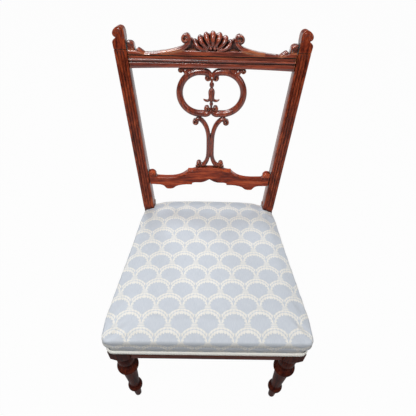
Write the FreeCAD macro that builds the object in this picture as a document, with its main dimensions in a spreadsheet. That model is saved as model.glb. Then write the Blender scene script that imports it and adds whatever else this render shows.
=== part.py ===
import FreeCAD, Part
import math
import os
import re

Vector = FreeCAD.Vector
document = FreeCAD.newDocument("salon_side_chair")

# Driving sizes, in millimetres and degrees. Depth is measured from the front
# leg axes towards the back, height from the floor.
SIZES = [
    ("front_leg_setback", 227.98, "frame origin behind the front leg axes"),
    ("leg_half_spacing", 202, "front leg axis to the middle of the chair"),
    ("leg_block_side", 50, "square top of the front leg"),
    ("leg_block_bottom", 318, "where the turning ends and the square starts"),
    ("show_wood_top", 368, "top of the polished wood, where the trimming sits"),
    ("rebate_front", 2, "leg top cut back at the front for the upholstery"),
    ("rebate_side", 4, "leg top cut back at the side for the upholstery"),
    ("frame_corner_radius", 12, "rounding of the leg top under the cover"),
    ("foot_radius", 9.5, "turned foot at the floor"),
    ("ankle_radius", 13, "turned leg above and below the lower ring"),
    ("lower_ring_radius", 20, "lower turned ring"),
    ("lower_ring_height", 77, "middle of the lower turned ring"),
    ("column_radius", 19, "thick end of the tapered column"),
    ("upper_ring_radius", 27, "upper turned ring"),
    ("upper_ring_height", 234, "middle of the upper turned ring"),
    ("vase_radius", 21.5, "turned vase below the square"),
    ("rail_bottom", 331, "underside of the seat rails"),
    ("rail_height", 75, "seat rail height"),
    ("rail_thickness", 24, "seat rail thickness"),
    ("seat_frame_depth", 357.6, "front leg axis to the front of the back posts"),
    ("post_outer_half", 181, "outer side of the back posts at the seat"),
    ("post_width", 28, "back post, across its front face"),
    ("post_depth_low", 36, "back post depth at the seat"),
    ("post_depth_high", 28, "back post depth at the top"),
    ("post_flare", 37, "how far each post leans outwards up to its shoulder"),
    ("knee_height", 440.9, "where the posts start to lean back"),
    ("back_lean", 13.63, "lean of the back"),
    ("shoulder_height", 428, "shoulder of the post, along the lean"),
    ("reed_drop", 15, "top of the reeding below the shoulder"),
    ("reed_groove_width", 3, "groove between two reeds"),
    ("reed_groove_depth", 1.6, "depth of a reeding groove"),
    ("rear_foot_side", 22, "rear foot, square"),
    ("rear_foot_rake", 58, "rear foot behind the front of the post"),
    ("post_block_drop", 6, "square of the back post below the seat rails"),
    ("crest_drop", 52, "underside of the crest rail below the posts' shoulder"),
    ("crest_camber", 4, "rise of the crest rail's underside"),
    ("crest_band", 32, "height of the crest rail's moulded band"),
    ("crest_thickness", 22, "crest rail"),
    ("crest_recess", 5, "crest rail behind the front of the posts"),
    ("moulding_depth", 2, "grooves along the crest rail"),
    ("shell_height", 41, "carved shell above the band"),
    ("scroll_radius", 11.3, "scrolls beside the shell"),
    ("cross_bottom", 76, "underside of the cross rail, along the lean"),
    ("cross_top", 126, "top of the cross rail's middle, along the lean"),
    ("cross_thickness", 18, "cross rail"),
    ("cross_recess", 2, "cross rail behind the front of the posts"),
    ("splat_thickness", 12, "pierced splat"),
    ("splat_recess", 7, "splat behind the front of the posts"),
    ("ring_radius", 50, "middle line of the splat's two open rings"),
    ("ring_spacing", 53, "between the middles of the two rings"),
    ("scroll_width", 14, "width of the ring scrolls"),
    ("stem_width", 9.4, "width of the lower stems"),
    ("tenon_thickness", 8, "tenons of the crest and cross rails"),
    ("tenon_length", 14, "tenons of the crest and cross rails"),
    ("tongue_thickness", 6, "tongues of the splat"),
    ("tongue_length", 8, "tongues of the splat"),
    ("fit_clearance", 0.15, "room round tenons, dowels and screws"),
    ("dowel_radius", 5, "seat rail dowels"),
    ("dowel_length", 38, "seat rail dowels"),
    ("block_height", 40, "corner blocks"),
    ("block_lift", 19, "corner blocks above the underside of the rails"),
    ("block_reach", 45, "corner blocks along the front and back rails"),
    ("screw_radius", 2, "corner block screws"),
    ("screw_length", 30, "corner block screws"),
    ("strap_width", 50, "webbing"),
    ("strap_thickness", 1.2, "webbing"),
    ("tack_head_radius", 3, "upholstery tacks"),
    ("tack_head_thickness", 0.8, "upholstery tacks"),
    ("tack_length", 10, "upholstery tacks"),
    ("tack_shank_radius", 0.8, "upholstery tacks"),
    ("cloth_thickness", 0.8, "hessian and bottom cloth"),
    ("cover_thickness", 1.5, "woven seat cover"),
    ("wadding_thickness", 4, "wadding under the cover"),
    ("soft_gap", 0.3, "room between a soft layer and its neighbour"),
    ("front_bulge", 12, "seat front past its frame"),
    ("side_bulge", 4, "seat sides past the frame"),
    ("seat_edge_height", 437, "where the seat's side turns over to its top"),
    ("seat_crown", 16.5, "middle of the seat above its edge"),
    ("trim_height", 16, "trimming braid"),
    ("trim_thickness", 2, "trimming braid"),
]

sheet = document.addObject("Spreadsheet::Sheet", "Sizes")
for row, (name, number, meaning) in enumerate(SIZES, 1):
    sheet.set("A%d" % row, name)
    sheet.set("B%d" % row, str(number))
    sheet.set("C%d" % row, meaning)
    sheet.setAlias("B%d" % row, name)
document.recompute()


class Cells:
    """Reads a size from the sheet by its name."""

    def __getattr__(self, name):
        return float(sheet.get(name))


size = Cells()
NAMES = {name for name, number, meaning in SIZES}


def bind(thing, field, formula):
    """Ties one field of a document object to a formula over the sheet."""
    tied = re.sub(r"[a-z]\w+", lambda word: "Sizes." + word[0] if word[0] in NAMES else word[0], formula)
    thing.setExpression(field, tied)


# Values that several pieces share
SETBACK = Vector(0, -size.front_leg_setback, 0)
HALF_BLOCK = size.leg_block_side / 2
RAIL_TOP = size.rail_bottom + size.rail_height
FRAME_FRONT = -HALF_BLOCK + size.rebate_front
FRAME_SIDE = size.leg_half_spacing + HALF_BLOCK - size.rebate_side
FRONT_RAIL_MIDDLE = FRAME_FRONT + size.rail_thickness / 2
POST_INNER = size.post_outer_half - size.post_width
CREST_BOTTOM = size.shoulder_height - size.crest_drop
REED_TOP = size.shoulder_height - size.reed_drop
LEAN = math.radians(size.back_lean)
BLOCK_DEPTH = size.post_depth_low / math.cos(LEAN)
BACK_RAIL_INSET = 5.5
BACK_RAIL_FRONT = size.seat_frame_depth + BACK_RAIL_INSET
BACK_RAIL_MIDDLE = BACK_RAIL_FRONT + size.rail_thickness / 2
FRAME_BACK = BACK_RAIL_FRONT + size.rail_thickness
SIDE_RAIL_REVEAL = 1.5


def side_outer(depth):
    """Outer face of the right side rail at a depth."""
    rear = size.post_outer_half - SIDE_RAIL_REVEAL
    share = (depth - HALF_BLOCK) / (size.seat_frame_depth - HALF_BLOCK)
    return FRAME_SIDE + (rear - FRAME_SIDE) * share


def side_middle(depth):
    return side_outer(depth) - size.rail_thickness / 2


def side_inner(depth):
    return side_outer(depth) - size.rail_thickness


def post_outer(up):
    """Outer edge of the right post's front face, along the lean."""
    return size.post_outer_half + size.post_flare * up / size.shoulder_height


def post_inner(up):
    return post_outer(up) - size.post_width


class Outline:
    """A line of straight and round stretches in one plane."""

    def __init__(self, x, y):
        self.here = Vector(x, y, 0)
        self.stretches = []

    def line(self, *points):
        for x, y in points:
            there = Vector(x, y, 0)
            if there.distanceToPoint(self.here) > 1e-6:
                self.stretches.append((self.here, there))
            self.here = there
        return self

    def arc(self, middle, end):
        there = Vector(end[0], end[1], 0)
        self.stretches.append((self.here, Vector(middle[0], middle[1], 0), there))
        self.here = there
        return self

    def close(self):
        first = self.stretches[0][0]
        return self.line((first.x, first.y))

    def mirrored(self):
        """Adds the mirror image across x = 0, for a half that ends there."""
        other = []
        for stretch in reversed(self.stretches):
            other.append(tuple(Vector(-p.x, p.y, 0) for p in reversed(stretch)))
        self.stretches += other
        return self

    def curves(self):
        for stretch in self.stretches:
            if len(stretch) == 2:
                yield Part.LineSegment(*stretch)
            else:
                yield Part.Arc(*stretch)

    def wire(self, height=0):
        wire = Part.Wire([curve.toShape() for curve in self.curves()])
        wire.translate(Vector(0, 0, height))
        return wire

    def prism(self, low, high):
        face = Part.Face(self.wire(low))
        return face.extrude(Vector(0, 0, high - low))


def new_body(label, place="0"):
    body = document.addObject("PartDesign::Body", label)
    bind(body, "Placement.Base.x", place)
    bind(body, "Placement.Base.y", "-front_leg_setback")
    return body


def new_sketch(body, outline, role="XY_Plane", lift="0"):
    """Draws an outline on one of the body's own planes, lifted along its normal."""
    sketch = body.newObject("Sketcher::SketchObject", body.Label + "_outline")
    plane = [item for item in body.Origin.OriginFeatures if item.Role == role][0]
    sketch.AttachmentSupport = (plane, [""])
    sketch.MapMode = "FlatFace"
    bind(sketch, "AttachmentOffset.Base.z", lift)
    for curve in outline.curves():
        sketch.addGeometry(curve)
    return sketch


def leaning_sketch(body, outline, lift):
    """Draws an outline in the plane of the back, lifted towards the sitter."""
    sketch = new_sketch(body, outline, "XZ_Plane")
    turn = FreeCAD.Rotation(Vector(1, 0, 0), -size.back_lean)
    sketch.AttachmentOffset = FreeCAD.Placement(Vector(0, 0, 0), turn)
    bind(sketch, "AttachmentOffset.Base.y", "knee_height + (%s) * sin(back_lean)" % lift)
    bind(sketch, "AttachmentOffset.Base.z", "(%s) * cos(back_lean) - seat_frame_depth" % lift)
    bind(sketch, "AttachmentOffset.Rotation.Angle", "-back_lean")
    return sketch


def pad(body, sketch, length, reverse=False):
    feature = body.newObject("PartDesign::Pad", body.Label + "_pad")
    feature.Profile = sketch
    feature.Reversed = reverse
    bind(feature, "Length", length)
    return feature


def pocket(body, sketch, length, reverse=False):
    document.recompute()
    before = body.Shape.Volume
    feature = body.newObject("PartDesign::Pocket", body.Label + "_pocket")
    feature.Profile = sketch
    feature.Reversed = reverse
    bind(feature, "Length", length)
    document.recompute()
    if body.Shape.Volume >= before:
        raise ValueError("a pocket of %s cuts nothing" % body.Label)
    return feature


def mirror(source, label):
    other = document.addObject("Part::Mirroring", label)
    other.Source = source
    other.Normal = Vector(1, 0, 0)
    return other


def solid_feature(label, shape):
    """Holds a shape given by depth from the front leg axes."""
    feature = document.addObject("Part::Feature", label)
    feature.Shape = shape
    feature.Placement = FreeCAD.Placement(SETBACK, FreeCAD.Rotation())
    return feature


def rod(start, direction, radius, length):
    return Part.makeCylinder(radius, length, start, direction)


def both_sides(shapes):
    """The right-hand shapes and their mirror images."""
    return shapes + [shape.mirror(Vector(0, 0, 0), Vector(1, 0, 0)) for shape in shapes]


# Seat rail dowels: two in each of the eight rail ends
FRONT_DOWEL_STEPS = (20, 56)
REAR_SIDE_DOWEL_STEPS = (14, 50)
REAR_RAIL_DOWEL_STEPS = (30, 64)
ACROSS = Vector(1, 0, 0)
BACKWARDS = Vector(0, 1, 0)
UPWARDS = Vector(0, 0, 1)


def dowels(room):
    joints = [
        (size.leg_half_spacing - HALF_BLOCK, FRONT_RAIL_MIDDLE, ACROSS, FRONT_DOWEL_STEPS),
        (side_middle(HALF_BLOCK), HALF_BLOCK, BACKWARDS, FRONT_DOWEL_STEPS),
        (side_middle(size.seat_frame_depth), size.seat_frame_depth, BACKWARDS, REAR_SIDE_DOWEL_STEPS),
        (POST_INNER, BACK_RAIL_MIDDLE, ACROSS, REAR_RAIL_DOWEL_STEPS),
    ]
    length = size.dowel_length + 6 * room
    shapes = []
    for x, depth, direction, steps in joints:
        for step in steps:
            middle = Vector(x, depth, size.rail_bottom + step)
            start = middle - direction * (length / 2)
            shapes.append(rod(start, direction, size.dowel_radius + room, length))
    return both_sides(shapes)


# Corner block screws: each block is screwed to both rails that it joins
SCREW_BEARING = 14
SCREW_HEAD = 3
SCREW_HEAD_RADIUS = 4
FRONT_SCREW_X = 150
FRONT_SCREW_DEPTH = 52
REAR_SCREW_X = 126
REAR_SCREW_DEPTH = 326
BLOCK_BASE = size.rail_bottom + size.block_lift
FIRST_SCREW_STEP = 13
SECOND_SCREW_STEP = 28


def screws(room, open_length=SCREW_HEAD):
    front_face = FRAME_FRONT + size.rail_thickness
    low = BLOCK_BASE + FIRST_SCREW_STEP
    high = BLOCK_BASE + SECOND_SCREW_STEP
    places = [
        (Vector(FRONT_SCREW_X, front_face + SCREW_BEARING, low), -BACKWARDS),
        (Vector(side_inner(FRONT_SCREW_DEPTH) - SCREW_BEARING, FRONT_SCREW_DEPTH, high), ACROSS),
        (Vector(REAR_SCREW_X, BACK_RAIL_FRONT - SCREW_BEARING, low), BACKWARDS),
        (Vector(side_inner(REAR_SCREW_DEPTH) - SCREW_BEARING, REAR_SCREW_DEPTH, high), ACROSS),
    ]
    shapes = []
    for seat, direction in places:
        shank = rod(seat, direction, size.screw_radius + room, size.screw_length + room)
        head = rod(seat, -direction, SCREW_HEAD_RADIUS + room, open_length)
        shapes.append(shank.fuse(head))
    return both_sides(shapes)


# Tacks: three at each end of each web, and rows for the cover and bottom cloth
WEB_DEPTHS = (55, 135, 215, 295)
WEB_ACROSS = (-95, 0, 95)
WEB_TACK_STEPS = (-17, 0, 17)
WEB_TOP = RAIL_TOP + size.strap_thickness
COVER_FACE = size.soft_gap + size.cover_thickness
COVER_TACK_HEIGHT = size.show_wood_top + 9
CLOTH_UNDERSIDE = size.rail_bottom - size.cloth_thickness
POINT_ROOM = 0.7


def tack(seat, direction):
    shank = rod(seat, direction, size.tack_shank_radius, size.tack_length)
    head = rod(seat, -direction, size.tack_head_radius, size.tack_head_thickness)
    return shank.fuse(head)


def tack_hole(seat, direction):
    start = seat - direction * size.tack_head_thickness
    radius = size.tack_shank_radius + size.fit_clearance
    return rod(start, direction, radius, size.tack_length + size.tack_head_thickness + POINT_ROOM)


def web_tacks(make):
    sides = []
    for depth in WEB_DEPTHS:
        for step in WEB_TACK_STEPS:
            seat = Vector(side_middle(depth + step), depth + step, WEB_TOP)
            sides.append(make(seat, -UPWARDS))
    ends = []
    for x in WEB_ACROSS:
        for step in WEB_TACK_STEPS:
            for depth in (FRONT_RAIL_MIDDLE, BACK_RAIL_MIDDLE):
                ends.append(make(Vector(x + step, depth, WEB_TOP), -UPWARDS))
    return both_sides(sides) + ends


def cover_tacks(make):
    rows = []
    for step in range(1, 5):
        rows.append(make(Vector(45 * step, FRAME_FRONT - COVER_FACE, COVER_TACK_HEIGHT), BACKWARDS))
    rows.append(make(Vector(FRAME_SIDE + COVER_FACE, 0, COVER_TACK_HEIGHT), -ACROSS))
    slope = (side_outer(300) - side_outer(0)) / 300
    outward = Vector(1, -slope, 0).normalize()
    for depth in range(60, 330, 50):
        seat = Vector(side_outer(depth), depth, COVER_TACK_HEIGHT) + outward * COVER_FACE
        rows.append(make(seat, -outward))
    for step in (1, 2):
        rows.append(make(Vector(55 * step, FRAME_BACK + COVER_FACE, COVER_TACK_HEIGHT), -BACKWARDS))
    centre = [
        make(Vector(0, FRAME_FRONT - COVER_FACE, COVER_TACK_HEIGHT), BACKWARDS),
        make(Vector(0, FRAME_BACK + COVER_FACE, COVER_TACK_HEIGHT), -BACKWARDS),
    ]
    return both_sides(rows) + centre


def bottom_tacks(make):
    rows = []
    for step in (1, 2, 3):
        rows.append(make(Vector(50 * step, FRONT_RAIL_MIDDLE, CLOTH_UNDERSIDE), UPWARDS))
    for depth in range(60, 340, 50):
        rows.append(make(Vector(side_middle(depth), depth, CLOTH_UNDERSIDE), UPWARDS))
    for step in (1, 2):
        rows.append(make(Vector(55 * step, BACK_RAIL_MIDDLE, CLOTH_UNDERSIDE), UPWARDS))
    centre = [
        make(Vector(0, FRONT_RAIL_MIDDLE, CLOTH_UNDERSIDE), UPWARDS),
        make(Vector(0, BACK_RAIL_MIDDLE, CLOTH_UNDERSIDE), UPWARDS),
    ]
    return both_sides(rows) + centre


HOLES = (
    dowels(size.fit_clearance)
    + screws(size.fit_clearance, 60)
    + web_tacks(tack_hole)
    + cover_tacks(tack_hole)
    + bottom_tacks(tack_hole)
)


def drilled(blank, label):
    """The blank with every dowel, screw and tack hole that reaches it."""
    document.recompute()
    room = blank.Shape.BoundBox
    room.move(-SETBACK)
    room.enlarge(1)
    near = [hole for hole in HOLES if room.intersect(hole.BoundBox)]
    blank.Label = label + "_blank"
    holes = solid_feature(label + "_holes", Part.makeCompound(near))
    cut = document.addObject("Part::Cut", label)
    cut.Label = label
    cut.Base = blank
    cut.Tool = holes
    return cut


# Front leg: a square top over a turned and tapered leg, worked on its own axis
def front_leg():
    body = new_body("front_leg_right_work", "leg_half_spacing")
    square = Outline(-HALF_BLOCK, -HALF_BLOCK)
    square.line((HALF_BLOCK, -HALF_BLOCK), (HALF_BLOCK, HALF_BLOCK), (-HALF_BLOCK, HALF_BLOCK)).close()
    block_sketch = new_sketch(body, square, lift="leg_block_bottom")
    pad(body, block_sketch, "rail_bottom + rail_height - leg_block_bottom")
    inner_side = HALF_BLOCK - size.rebate_side
    inner_front = -HALF_BLOCK + size.rebate_front
    radius = size.frame_corner_radius
    out = HALF_BLOCK + 1
    bend = radius * (1 - math.sqrt(0.5))
    rebate = Outline(-out, -out).line((out, -out), (out, out), (inner_side, out))
    rebate.line((inner_side, inner_front + radius))
    rebate.arc((inner_side - bend, inner_front + bend), (inner_side - radius, inner_front))
    rebate.line((-out, inner_front)).close()
    rebate_sketch = new_sketch(body, rebate, lift="rail_bottom + rail_height")
    pocket(body, rebate_sketch, "rail_bottom + rail_height - show_wood_top")
    # Lathe cut that rounds the lower corners of the square
    corner = HALF_BLOCK * math.sqrt(2) + 1
    low = size.leg_block_bottom
    shoulder = Outline(HALF_BLOCK - 1, low - 1).line((corner, low - 1), (corner, low + 15))
    shoulder.arc((HALF_BLOCK + 6, low + 4), (HALF_BLOCK - 1, low)).close()
    groove = body.newObject("PartDesign::Groove", "front_leg_shoulder")
    groove.Profile = new_sketch(body, shoulder, "XZ_Plane")
    groove.ReferenceAxis = (groove.Profile[0], ["V_Axis"])
    document.recompute()
    revolution = body.newObject("PartDesign::Revolution", "front_leg_turning")
    revolution.Profile = new_sketch(body, turned_profile(), "XZ_Plane")
    revolution.ReferenceAxis = (revolution.Profile[0], ["V_Axis"])
    return body


def turned_profile():
    """Half of the turned leg: foot, lower ring, tapered column, upper ring, vase."""
    low_ring = size.lower_ring_height
    high_ring = size.upper_ring_height
    neck = size.vase_radius - 3
    vase_middle = (high_ring + 18 + size.leg_block_bottom - 14) / 2
    turned = Outline(0, 0).line((size.foot_radius - 1.5, 0), (size.foot_radius, 4))
    turned.line((size.ankle_radius - 0.5, low_ring - 17)).line((size.ankle_radius + 2, low_ring - 13))
    turned.arc((size.lower_ring_radius, low_ring), (size.ankle_radius + 3, low_ring + 10))
    turned.line((size.ankle_radius, low_ring + 12), (size.ankle_radius, low_ring + 17))
    turned.line((size.ankle_radius + 1.5, low_ring + 19), (size.ankle_radius + 1.5, low_ring + 23))
    turned.line((size.column_radius - 0.5, high_ring - 34))
    turned.arc((size.column_radius + 0.5, high_ring - 22), (size.upper_ring_radius - 3, high_ring - 11))
    turned.arc((size.upper_ring_radius, high_ring - 5), (size.upper_ring_radius - 2, high_ring + 2))
    turned.line((neck + 2, high_ring + 12), (neck, high_ring + 16), (neck, high_ring + 20))
    turned.arc((size.vase_radius, vase_middle), (neck + 1, size.leg_block_bottom - 12))
    turned.line((HALF_BLOCK - 3, size.leg_block_bottom - 3), (HALF_BLOCK - 3, size.leg_block_bottom))
    turned.line((0, size.leg_block_bottom)).close()
    return turned


# Back post: one piece from the foot to the scrolled top
def tenon_outline(low, high, back_off, room):
    """The end of a rail inside the right post, square to the post's inner side."""
    length = size.tenon_length + 4 * room
    outline = Outline(post_inner(low) - back_off, low - room)
    outline.line((post_inner(low) + length, low - room), (post_inner(high) + length, high + room))
    outline.line((post_inner(high) - back_off, high + room)).close()
    return outline


CREST_TENON = (CREST_BOTTOM + 8, CREST_BOTTOM + size.crest_band - 4)
CROSS_TENON = (size.cross_bottom + 7, size.cross_bottom + 19)
TENON_SHOULDER = 5


def post_outline():
    """The post seen square to the back, with the scroll at its top."""
    high = size.shoulder_height
    out = post_outer(high)
    inside = out - size.post_width
    outline = Outline(post_inner(0), 0).line((post_outer(0), 0), (out, high))
    outline.arc((out - 2.5, high + 6), (out - 8, high + 11))
    outline.arc((out - 2.6, high + 18.5), (out - 7.5, high + 25))
    outline.arc((out - 16, high + 32), (out - 26, high + 26))
    outline.line((inside - 0.5, high + 18), (inside, high)).close()
    return outline


def back_post():
    body = new_body("back_post_right_work")
    limb = pad(body, leaning_sketch(body, post_outline(), "0"), "post_depth_low", True)
    document.recompute()
    # The limb grows thinner towards its top
    up = Vector(0, math.sin(LEAN), math.cos(LEAN))
    back = Vector(0, math.cos(LEAN), -math.sin(LEAN))
    knee = Vector(0, size.seat_frame_depth, size.knee_height)
    reach = size.shoulder_height + 40
    loss = (size.post_depth_low - size.post_depth_high) * reach / size.shoulder_height
    thin = size.post_depth_low - loss
    low = knee + back * size.post_depth_low
    high = knee + up * reach + back * thin
    far = knee + up * reach + back * (size.post_depth_low + 1)
    near = low + back
    taper = Outline(low.y, low.z).line((high.y, high.z), (far.y, far.z), (near.y, near.z)).close()
    taper_sketch = new_sketch(body, taper, "YZ_Plane", "post_outer_half + post_flare + 5")
    pocket(body, taper_sketch, "post_outer_half + post_flare + 5")
    # Three grooves leave four reeds on the front
    for share in (0.26, 0.5, 0.74):
        half = size.reed_groove_width / 2
        foot = post_inner(0) + size.post_width * share
        head = post_inner(REED_TOP) + size.post_width * share
        reed = Outline(foot - half, 1).line((foot + half, 1), (head + half, REED_TOP))
        reed.line((head - half, REED_TOP)).close()
        pocket(body, leaning_sketch(body, reed, "0"), "reed_groove_depth")
    # Upright block that takes the seat rails
    block = Outline(POST_INNER, size.seat_frame_depth)
    block.line((size.post_outer_half, size.seat_frame_depth))
    block.line((size.post_outer_half, size.seat_frame_depth + BLOCK_DEPTH))
    block.line((POST_INNER, size.seat_frame_depth + BLOCK_DEPTH)).close()
    pad(body, new_sketch(body, block, lift="rail_bottom - post_block_drop"),
        "knee_height - rail_bottom + post_block_drop")
    # Raked and tapered rear leg, in three level sections
    sections = []
    middle = size.post_outer_half - size.post_width / 2
    for share, rake in ((1, 0), (0.5, 0.27), (0, 1)):
        half = (size.rear_foot_side + (size.post_width - size.rear_foot_side) * share) / 2
        deep = size.rear_foot_side + (BLOCK_DEPTH - size.rear_foot_side) * share
        front = size.seat_frame_depth + size.rear_foot_rake * rake
        section = Outline(middle - half, front).line((middle + half, front), (middle + half, front + deep))
        section.line((middle - half, front + deep)).close()
        sections.append(new_sketch(body, section, lift="(rail_bottom - post_block_drop) * %s" % share))
    leg = body.newObject("PartDesign::AdditiveLoft", "back_post_leg")
    leg.Profile = sections[0]
    leg.Sections = sections[1:]
    document.recompute()
    # Mortises for the crest rail and the cross rail
    for recess, (low, high) in (("crest_recess", CREST_TENON), ("cross_recess", CROSS_TENON)):
        outline = tenon_outline(low, high, 1, size.fit_clearance)
        lift = "-%s - %s + fit_clearance" % (recess, TENON_SHOULDER)
        pocket(body, leaning_sketch(body, outline, lift), "tenon_thickness + 2 * fit_clearance")
    return body


# Crest rail: moulded band, carved shell between two scrolls, ear at each post
def crest_outline():
    top = CREST_BOTTOM + size.crest_band
    end = post_inner(top + 22)
    tip = top + size.shell_height + size.crest_camber
    scroll_x = 61
    scroll_up = top + 29.5
    radius = size.scroll_radius
    half = Outline(0, tip).arc((4, tip - 1.2), (6.5, tip - 6))
    half.arc((12.5, tip - 3.7), (19, tip - 9.5)).arc((25.5, tip - 7.6), (31.5, tip - 15))
    half.arc((38, tip - 13.6), (45, tip - 22.5)).line((47, top + 20))
    half.line((scroll_x - radius, scroll_up - 3))
    half.arc((scroll_x - 1, scroll_up + radius), (scroll_x + radius, scroll_up))
    half.arc((scroll_x + radius - 0.5, scroll_up - 4), (scroll_x + 7, scroll_up - 8.5))
    half.arc((scroll_x + 9.5, top + 12.5), (scroll_x + 20, top + 7.5))
    half.arc((end - 80, top + 2.5), (end - 45, top))
    half.line((end - 35, top)).arc((end - 31.5, top + 5), (end - 26, top + 9.5))
    half.arc((end - 23, top + 8.5), (end - 20.5, top + 5)).line((end - 19, top + 12), (end - 19, top + 19))
    half.arc((end - 16.5, top + 23), (end - 9, top + 24.5)).line((post_inner(top + 23), top + 23))
    half.line((post_inner(CREST_BOTTOM), CREST_BOTTOM))
    half.arc((post_inner(0) / 2, CREST_BOTTOM + size.crest_camber * 0.72),
             (0, CREST_BOTTOM + size.crest_camber))
    return half.mirrored()


# Middles of the splat's rings, tongues and stems, along the lean
RING_X = size.ring_spacing / 2
RING_UP = CREST_BOTTOM + size.crest_camber - size.ring_radius - size.scroll_width / 2
SPLAT_FOOT_X = 22
TONGUE_HALF = 7
HUSK_DROP = size.ring_radius - size.scroll_width / 2


def tongue_outline(x, low, high, room):
    outline = Outline(x - TONGUE_HALF - room, low).line((x + TONGUE_HALF + room, low))
    return outline.line((x + TONGUE_HALF + room, high), (x - TONGUE_HALF - room, high)).close()


def leaning_mortises(body, x, low, high):
    """Two blind slots for the splat's tongues."""
    for across in (-x, x):
        slot = tongue_outline(across, low, high, size.fit_clearance)
        lift = "-splat_recess - (splat_thickness - tongue_thickness) / 2 + fit_clearance"
        pocket(body, leaning_sketch(body, slot, lift), "tongue_thickness + 2 * fit_clearance")


def add_tenons(body, span, recess):
    for mirrored in (False, True):
        outline = tenon_outline(span[0], span[1], 6, 0)
        if mirrored:
            outline.stretches = [tuple(Vector(-p.x, p.y, 0) for p in s) for s in outline.stretches]
        lift = "-%s - %s" % (recess, TENON_SHOULDER)
        pad(body, leaning_sketch(body, outline, lift), "tenon_thickness", True)
        document.recompute()


def crest_rail():
    body = new_body("crest_rail")
    pad(body, leaning_sketch(body, crest_outline(), "-crest_recess"), "crest_thickness", True)
    document.recompute()
    low = CREST_BOTTOM + size.crest_camber
    end = post_inner(low) + 4
    for step, width, reach in ((8, 2, end), (14.5, 1.5, end), (22, 2, end), (31, 1.5, 75)):
        groove = Outline(-reach, low + step).line((reach, low + step), (reach, low + step + width))
        groove.line((-reach, low + step + width)).close()
        pocket(body, leaning_sketch(body, groove, "-crest_recess"), "moulding_depth")
    # Valleys between the seven ribs of the shell
    top = CREST_BOTTOM + size.crest_band + size.crest_camber
    for x, rise, foot in ((6.5, 40, 2.5), (19, 36, 7), (31.5, 30, 12)):
        for side in (-1, 1):
            valley = Outline(side * (foot - 0.6), top + 9).line((side * (foot + 0.6), top + 9))
            valley.line((side * (x + 1.3), top + rise), (side * (x - 1.3), top + rise)).close()
            pocket(body, leaning_sketch(body, valley, "-crest_recess"), "2 * moulding_depth")
    add_tenons(body, CREST_TENON, "crest_recess")
    leaning_mortises(body, RING_X, low - 3, low + size.tongue_length + 1)
    return body


# Cross rail: shaped on both edges, with a scroll at each end
def cross_outline():
    low = size.cross_bottom
    top = size.cross_top
    half = Outline(0, top).line((28, top - 0.5)).arc((34, top - 2), (39, top - 5.5))
    half.arc((42, top - 8), (46, top - 8.5)).line((57, top - 9.5), (58.5, top - 12.5))
    half.arc((70, top - 22), (86, top - 28.5)).arc((103, top - 31.5), (122, top - 31.5))
    half.line((142.5, top - 31)).arc((151, top - 11.5), (post_inner(top - 13) - 2, top - 16))
    half.line((post_inner(top - 17), top - 17), (post_inner(low), low), (135, low - 1))
    half.arc((124, low - 3.5), (118, low - 9)).line((115, low - 13), (100, low - 13), (95, low - 10))
    half.arc((88, low - 4.5), (79, low - 1.5)).arc((64, low + 0.8), (46.5, low + 1))
    half.line((46.5, low + 7.5), (43, low + 8)).arc((24, low + 7.5), (9, low + 12.5))
    half.arc((4.5, low + 16), (0, low + 18))
    return half.mirrored()


def cross_rail():
    body = new_body("cross_rail")
    pad(body, leaning_sketch(body, cross_outline(), "-cross_recess"), "cross_thickness", True)
    document.recompute()
    add_tenons(body, CROSS_TENON, "cross_recess")
    leaning_mortises(body, SPLAT_FOOT_X, size.cross_top - size.tongue_length - 1, size.cross_top + 1)
    return body


# Splat: scrolls sawn from one board
def stroke(points, width):
    """A band of one width along arcs, given as start, middle, end, middle, end."""
    back = size.splat_thickness
    shapes = []
    for first in range(0, len(points) - 2, 2):
        start, middle, end = (Vector(x, y, 0) for x, y in points[first:first + 3])
        circle = Part.Circle(start, middle, end)
        edges = []
        for grow in (width / 2, -width / 2):
            factor = (circle.Radius + grow) / circle.Radius
            edges.append([circle.Center + (p - circle.Center) * factor for p in (start, middle, end)])
        outer, inner = edges
        band = Outline(outer[0].x, outer[0].y).arc((outer[1].x, outer[1].y), (outer[2].x, outer[2].y))
        band.line((inner[2].x, inner[2].y)).arc((inner[1].x, inner[1].y), (inner[0].x, inner[0].y)).close()
        shapes.append(band.prism(-back, 0))
        shapes.append(disc(start.x, start.y, width / 2 + 0.1))
    last = points[-1]
    shapes.append(disc(last[0], last[1], width / 2 + 0.1))
    return shapes


def disc(x, y, radius):
    return Part.makeCylinder(radius, size.splat_thickness, Vector(x, y, -size.splat_thickness))


def right_scrolls():
    x = RING_X
    up = RING_UP
    ring = size.ring_radius
    wide = size.scroll_width
    foot = size.cross_top
    shapes = stroke([(x - 5, up + ring), (x + ring, up), (x - 5, up - ring)], wide)
    # The ring's ends curl in to a small volute above and below
    shapes += stroke([(x - 5, up + ring), (11.5, up + ring - 6.5), (6.5, up + ring - 14)], wide - 3.5)
    shapes.append(disc(9.5, up + 34, 6.8))
    shapes += stroke([(x - 5, up - ring), (12, up - ring + 3), (5, up - ring + 9)], wide - 4)
    shapes.append(disc(10.5, up - 36.5, 6.5))
    # Bracket under the crest rail
    shapes += stroke([(x + 28, up + 42), (x + 34, up + 49), (x + 41, up + 53)], 7)
    shapes.append(disc(72, up + 52.5, 4.6))
    # Stem that rises from the cross rail and turns out under the ring
    wide = size.stem_width
    crest = up - ring - size.scroll_width / 2 - wide / 2 + 1
    shapes += stroke([(38, crest - 4.5), (27, crest + 0.6), (16.5, crest - 6.5),
                      (8, crest - 25), (4.6, crest - 50), (4.4, foot + 68), (5, foot + 42),
                      (10, foot + 20), (19, foot + 4)], wide)
    shapes.append(disc(38, crest - 9.5, 7.8))
    shapes.append(disc(28.5, foot + 13.5, 6.8))
    shapes += stroke([(19, foot + 5), (26, foot + 6), (31, foot + 8)], wide)
    base = Outline(11, foot).line((36, foot), (33, foot + 8), (14, foot + 8)).close()
    shapes.append(base.prism(-size.splat_thickness, 0))
    return shapes


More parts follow.
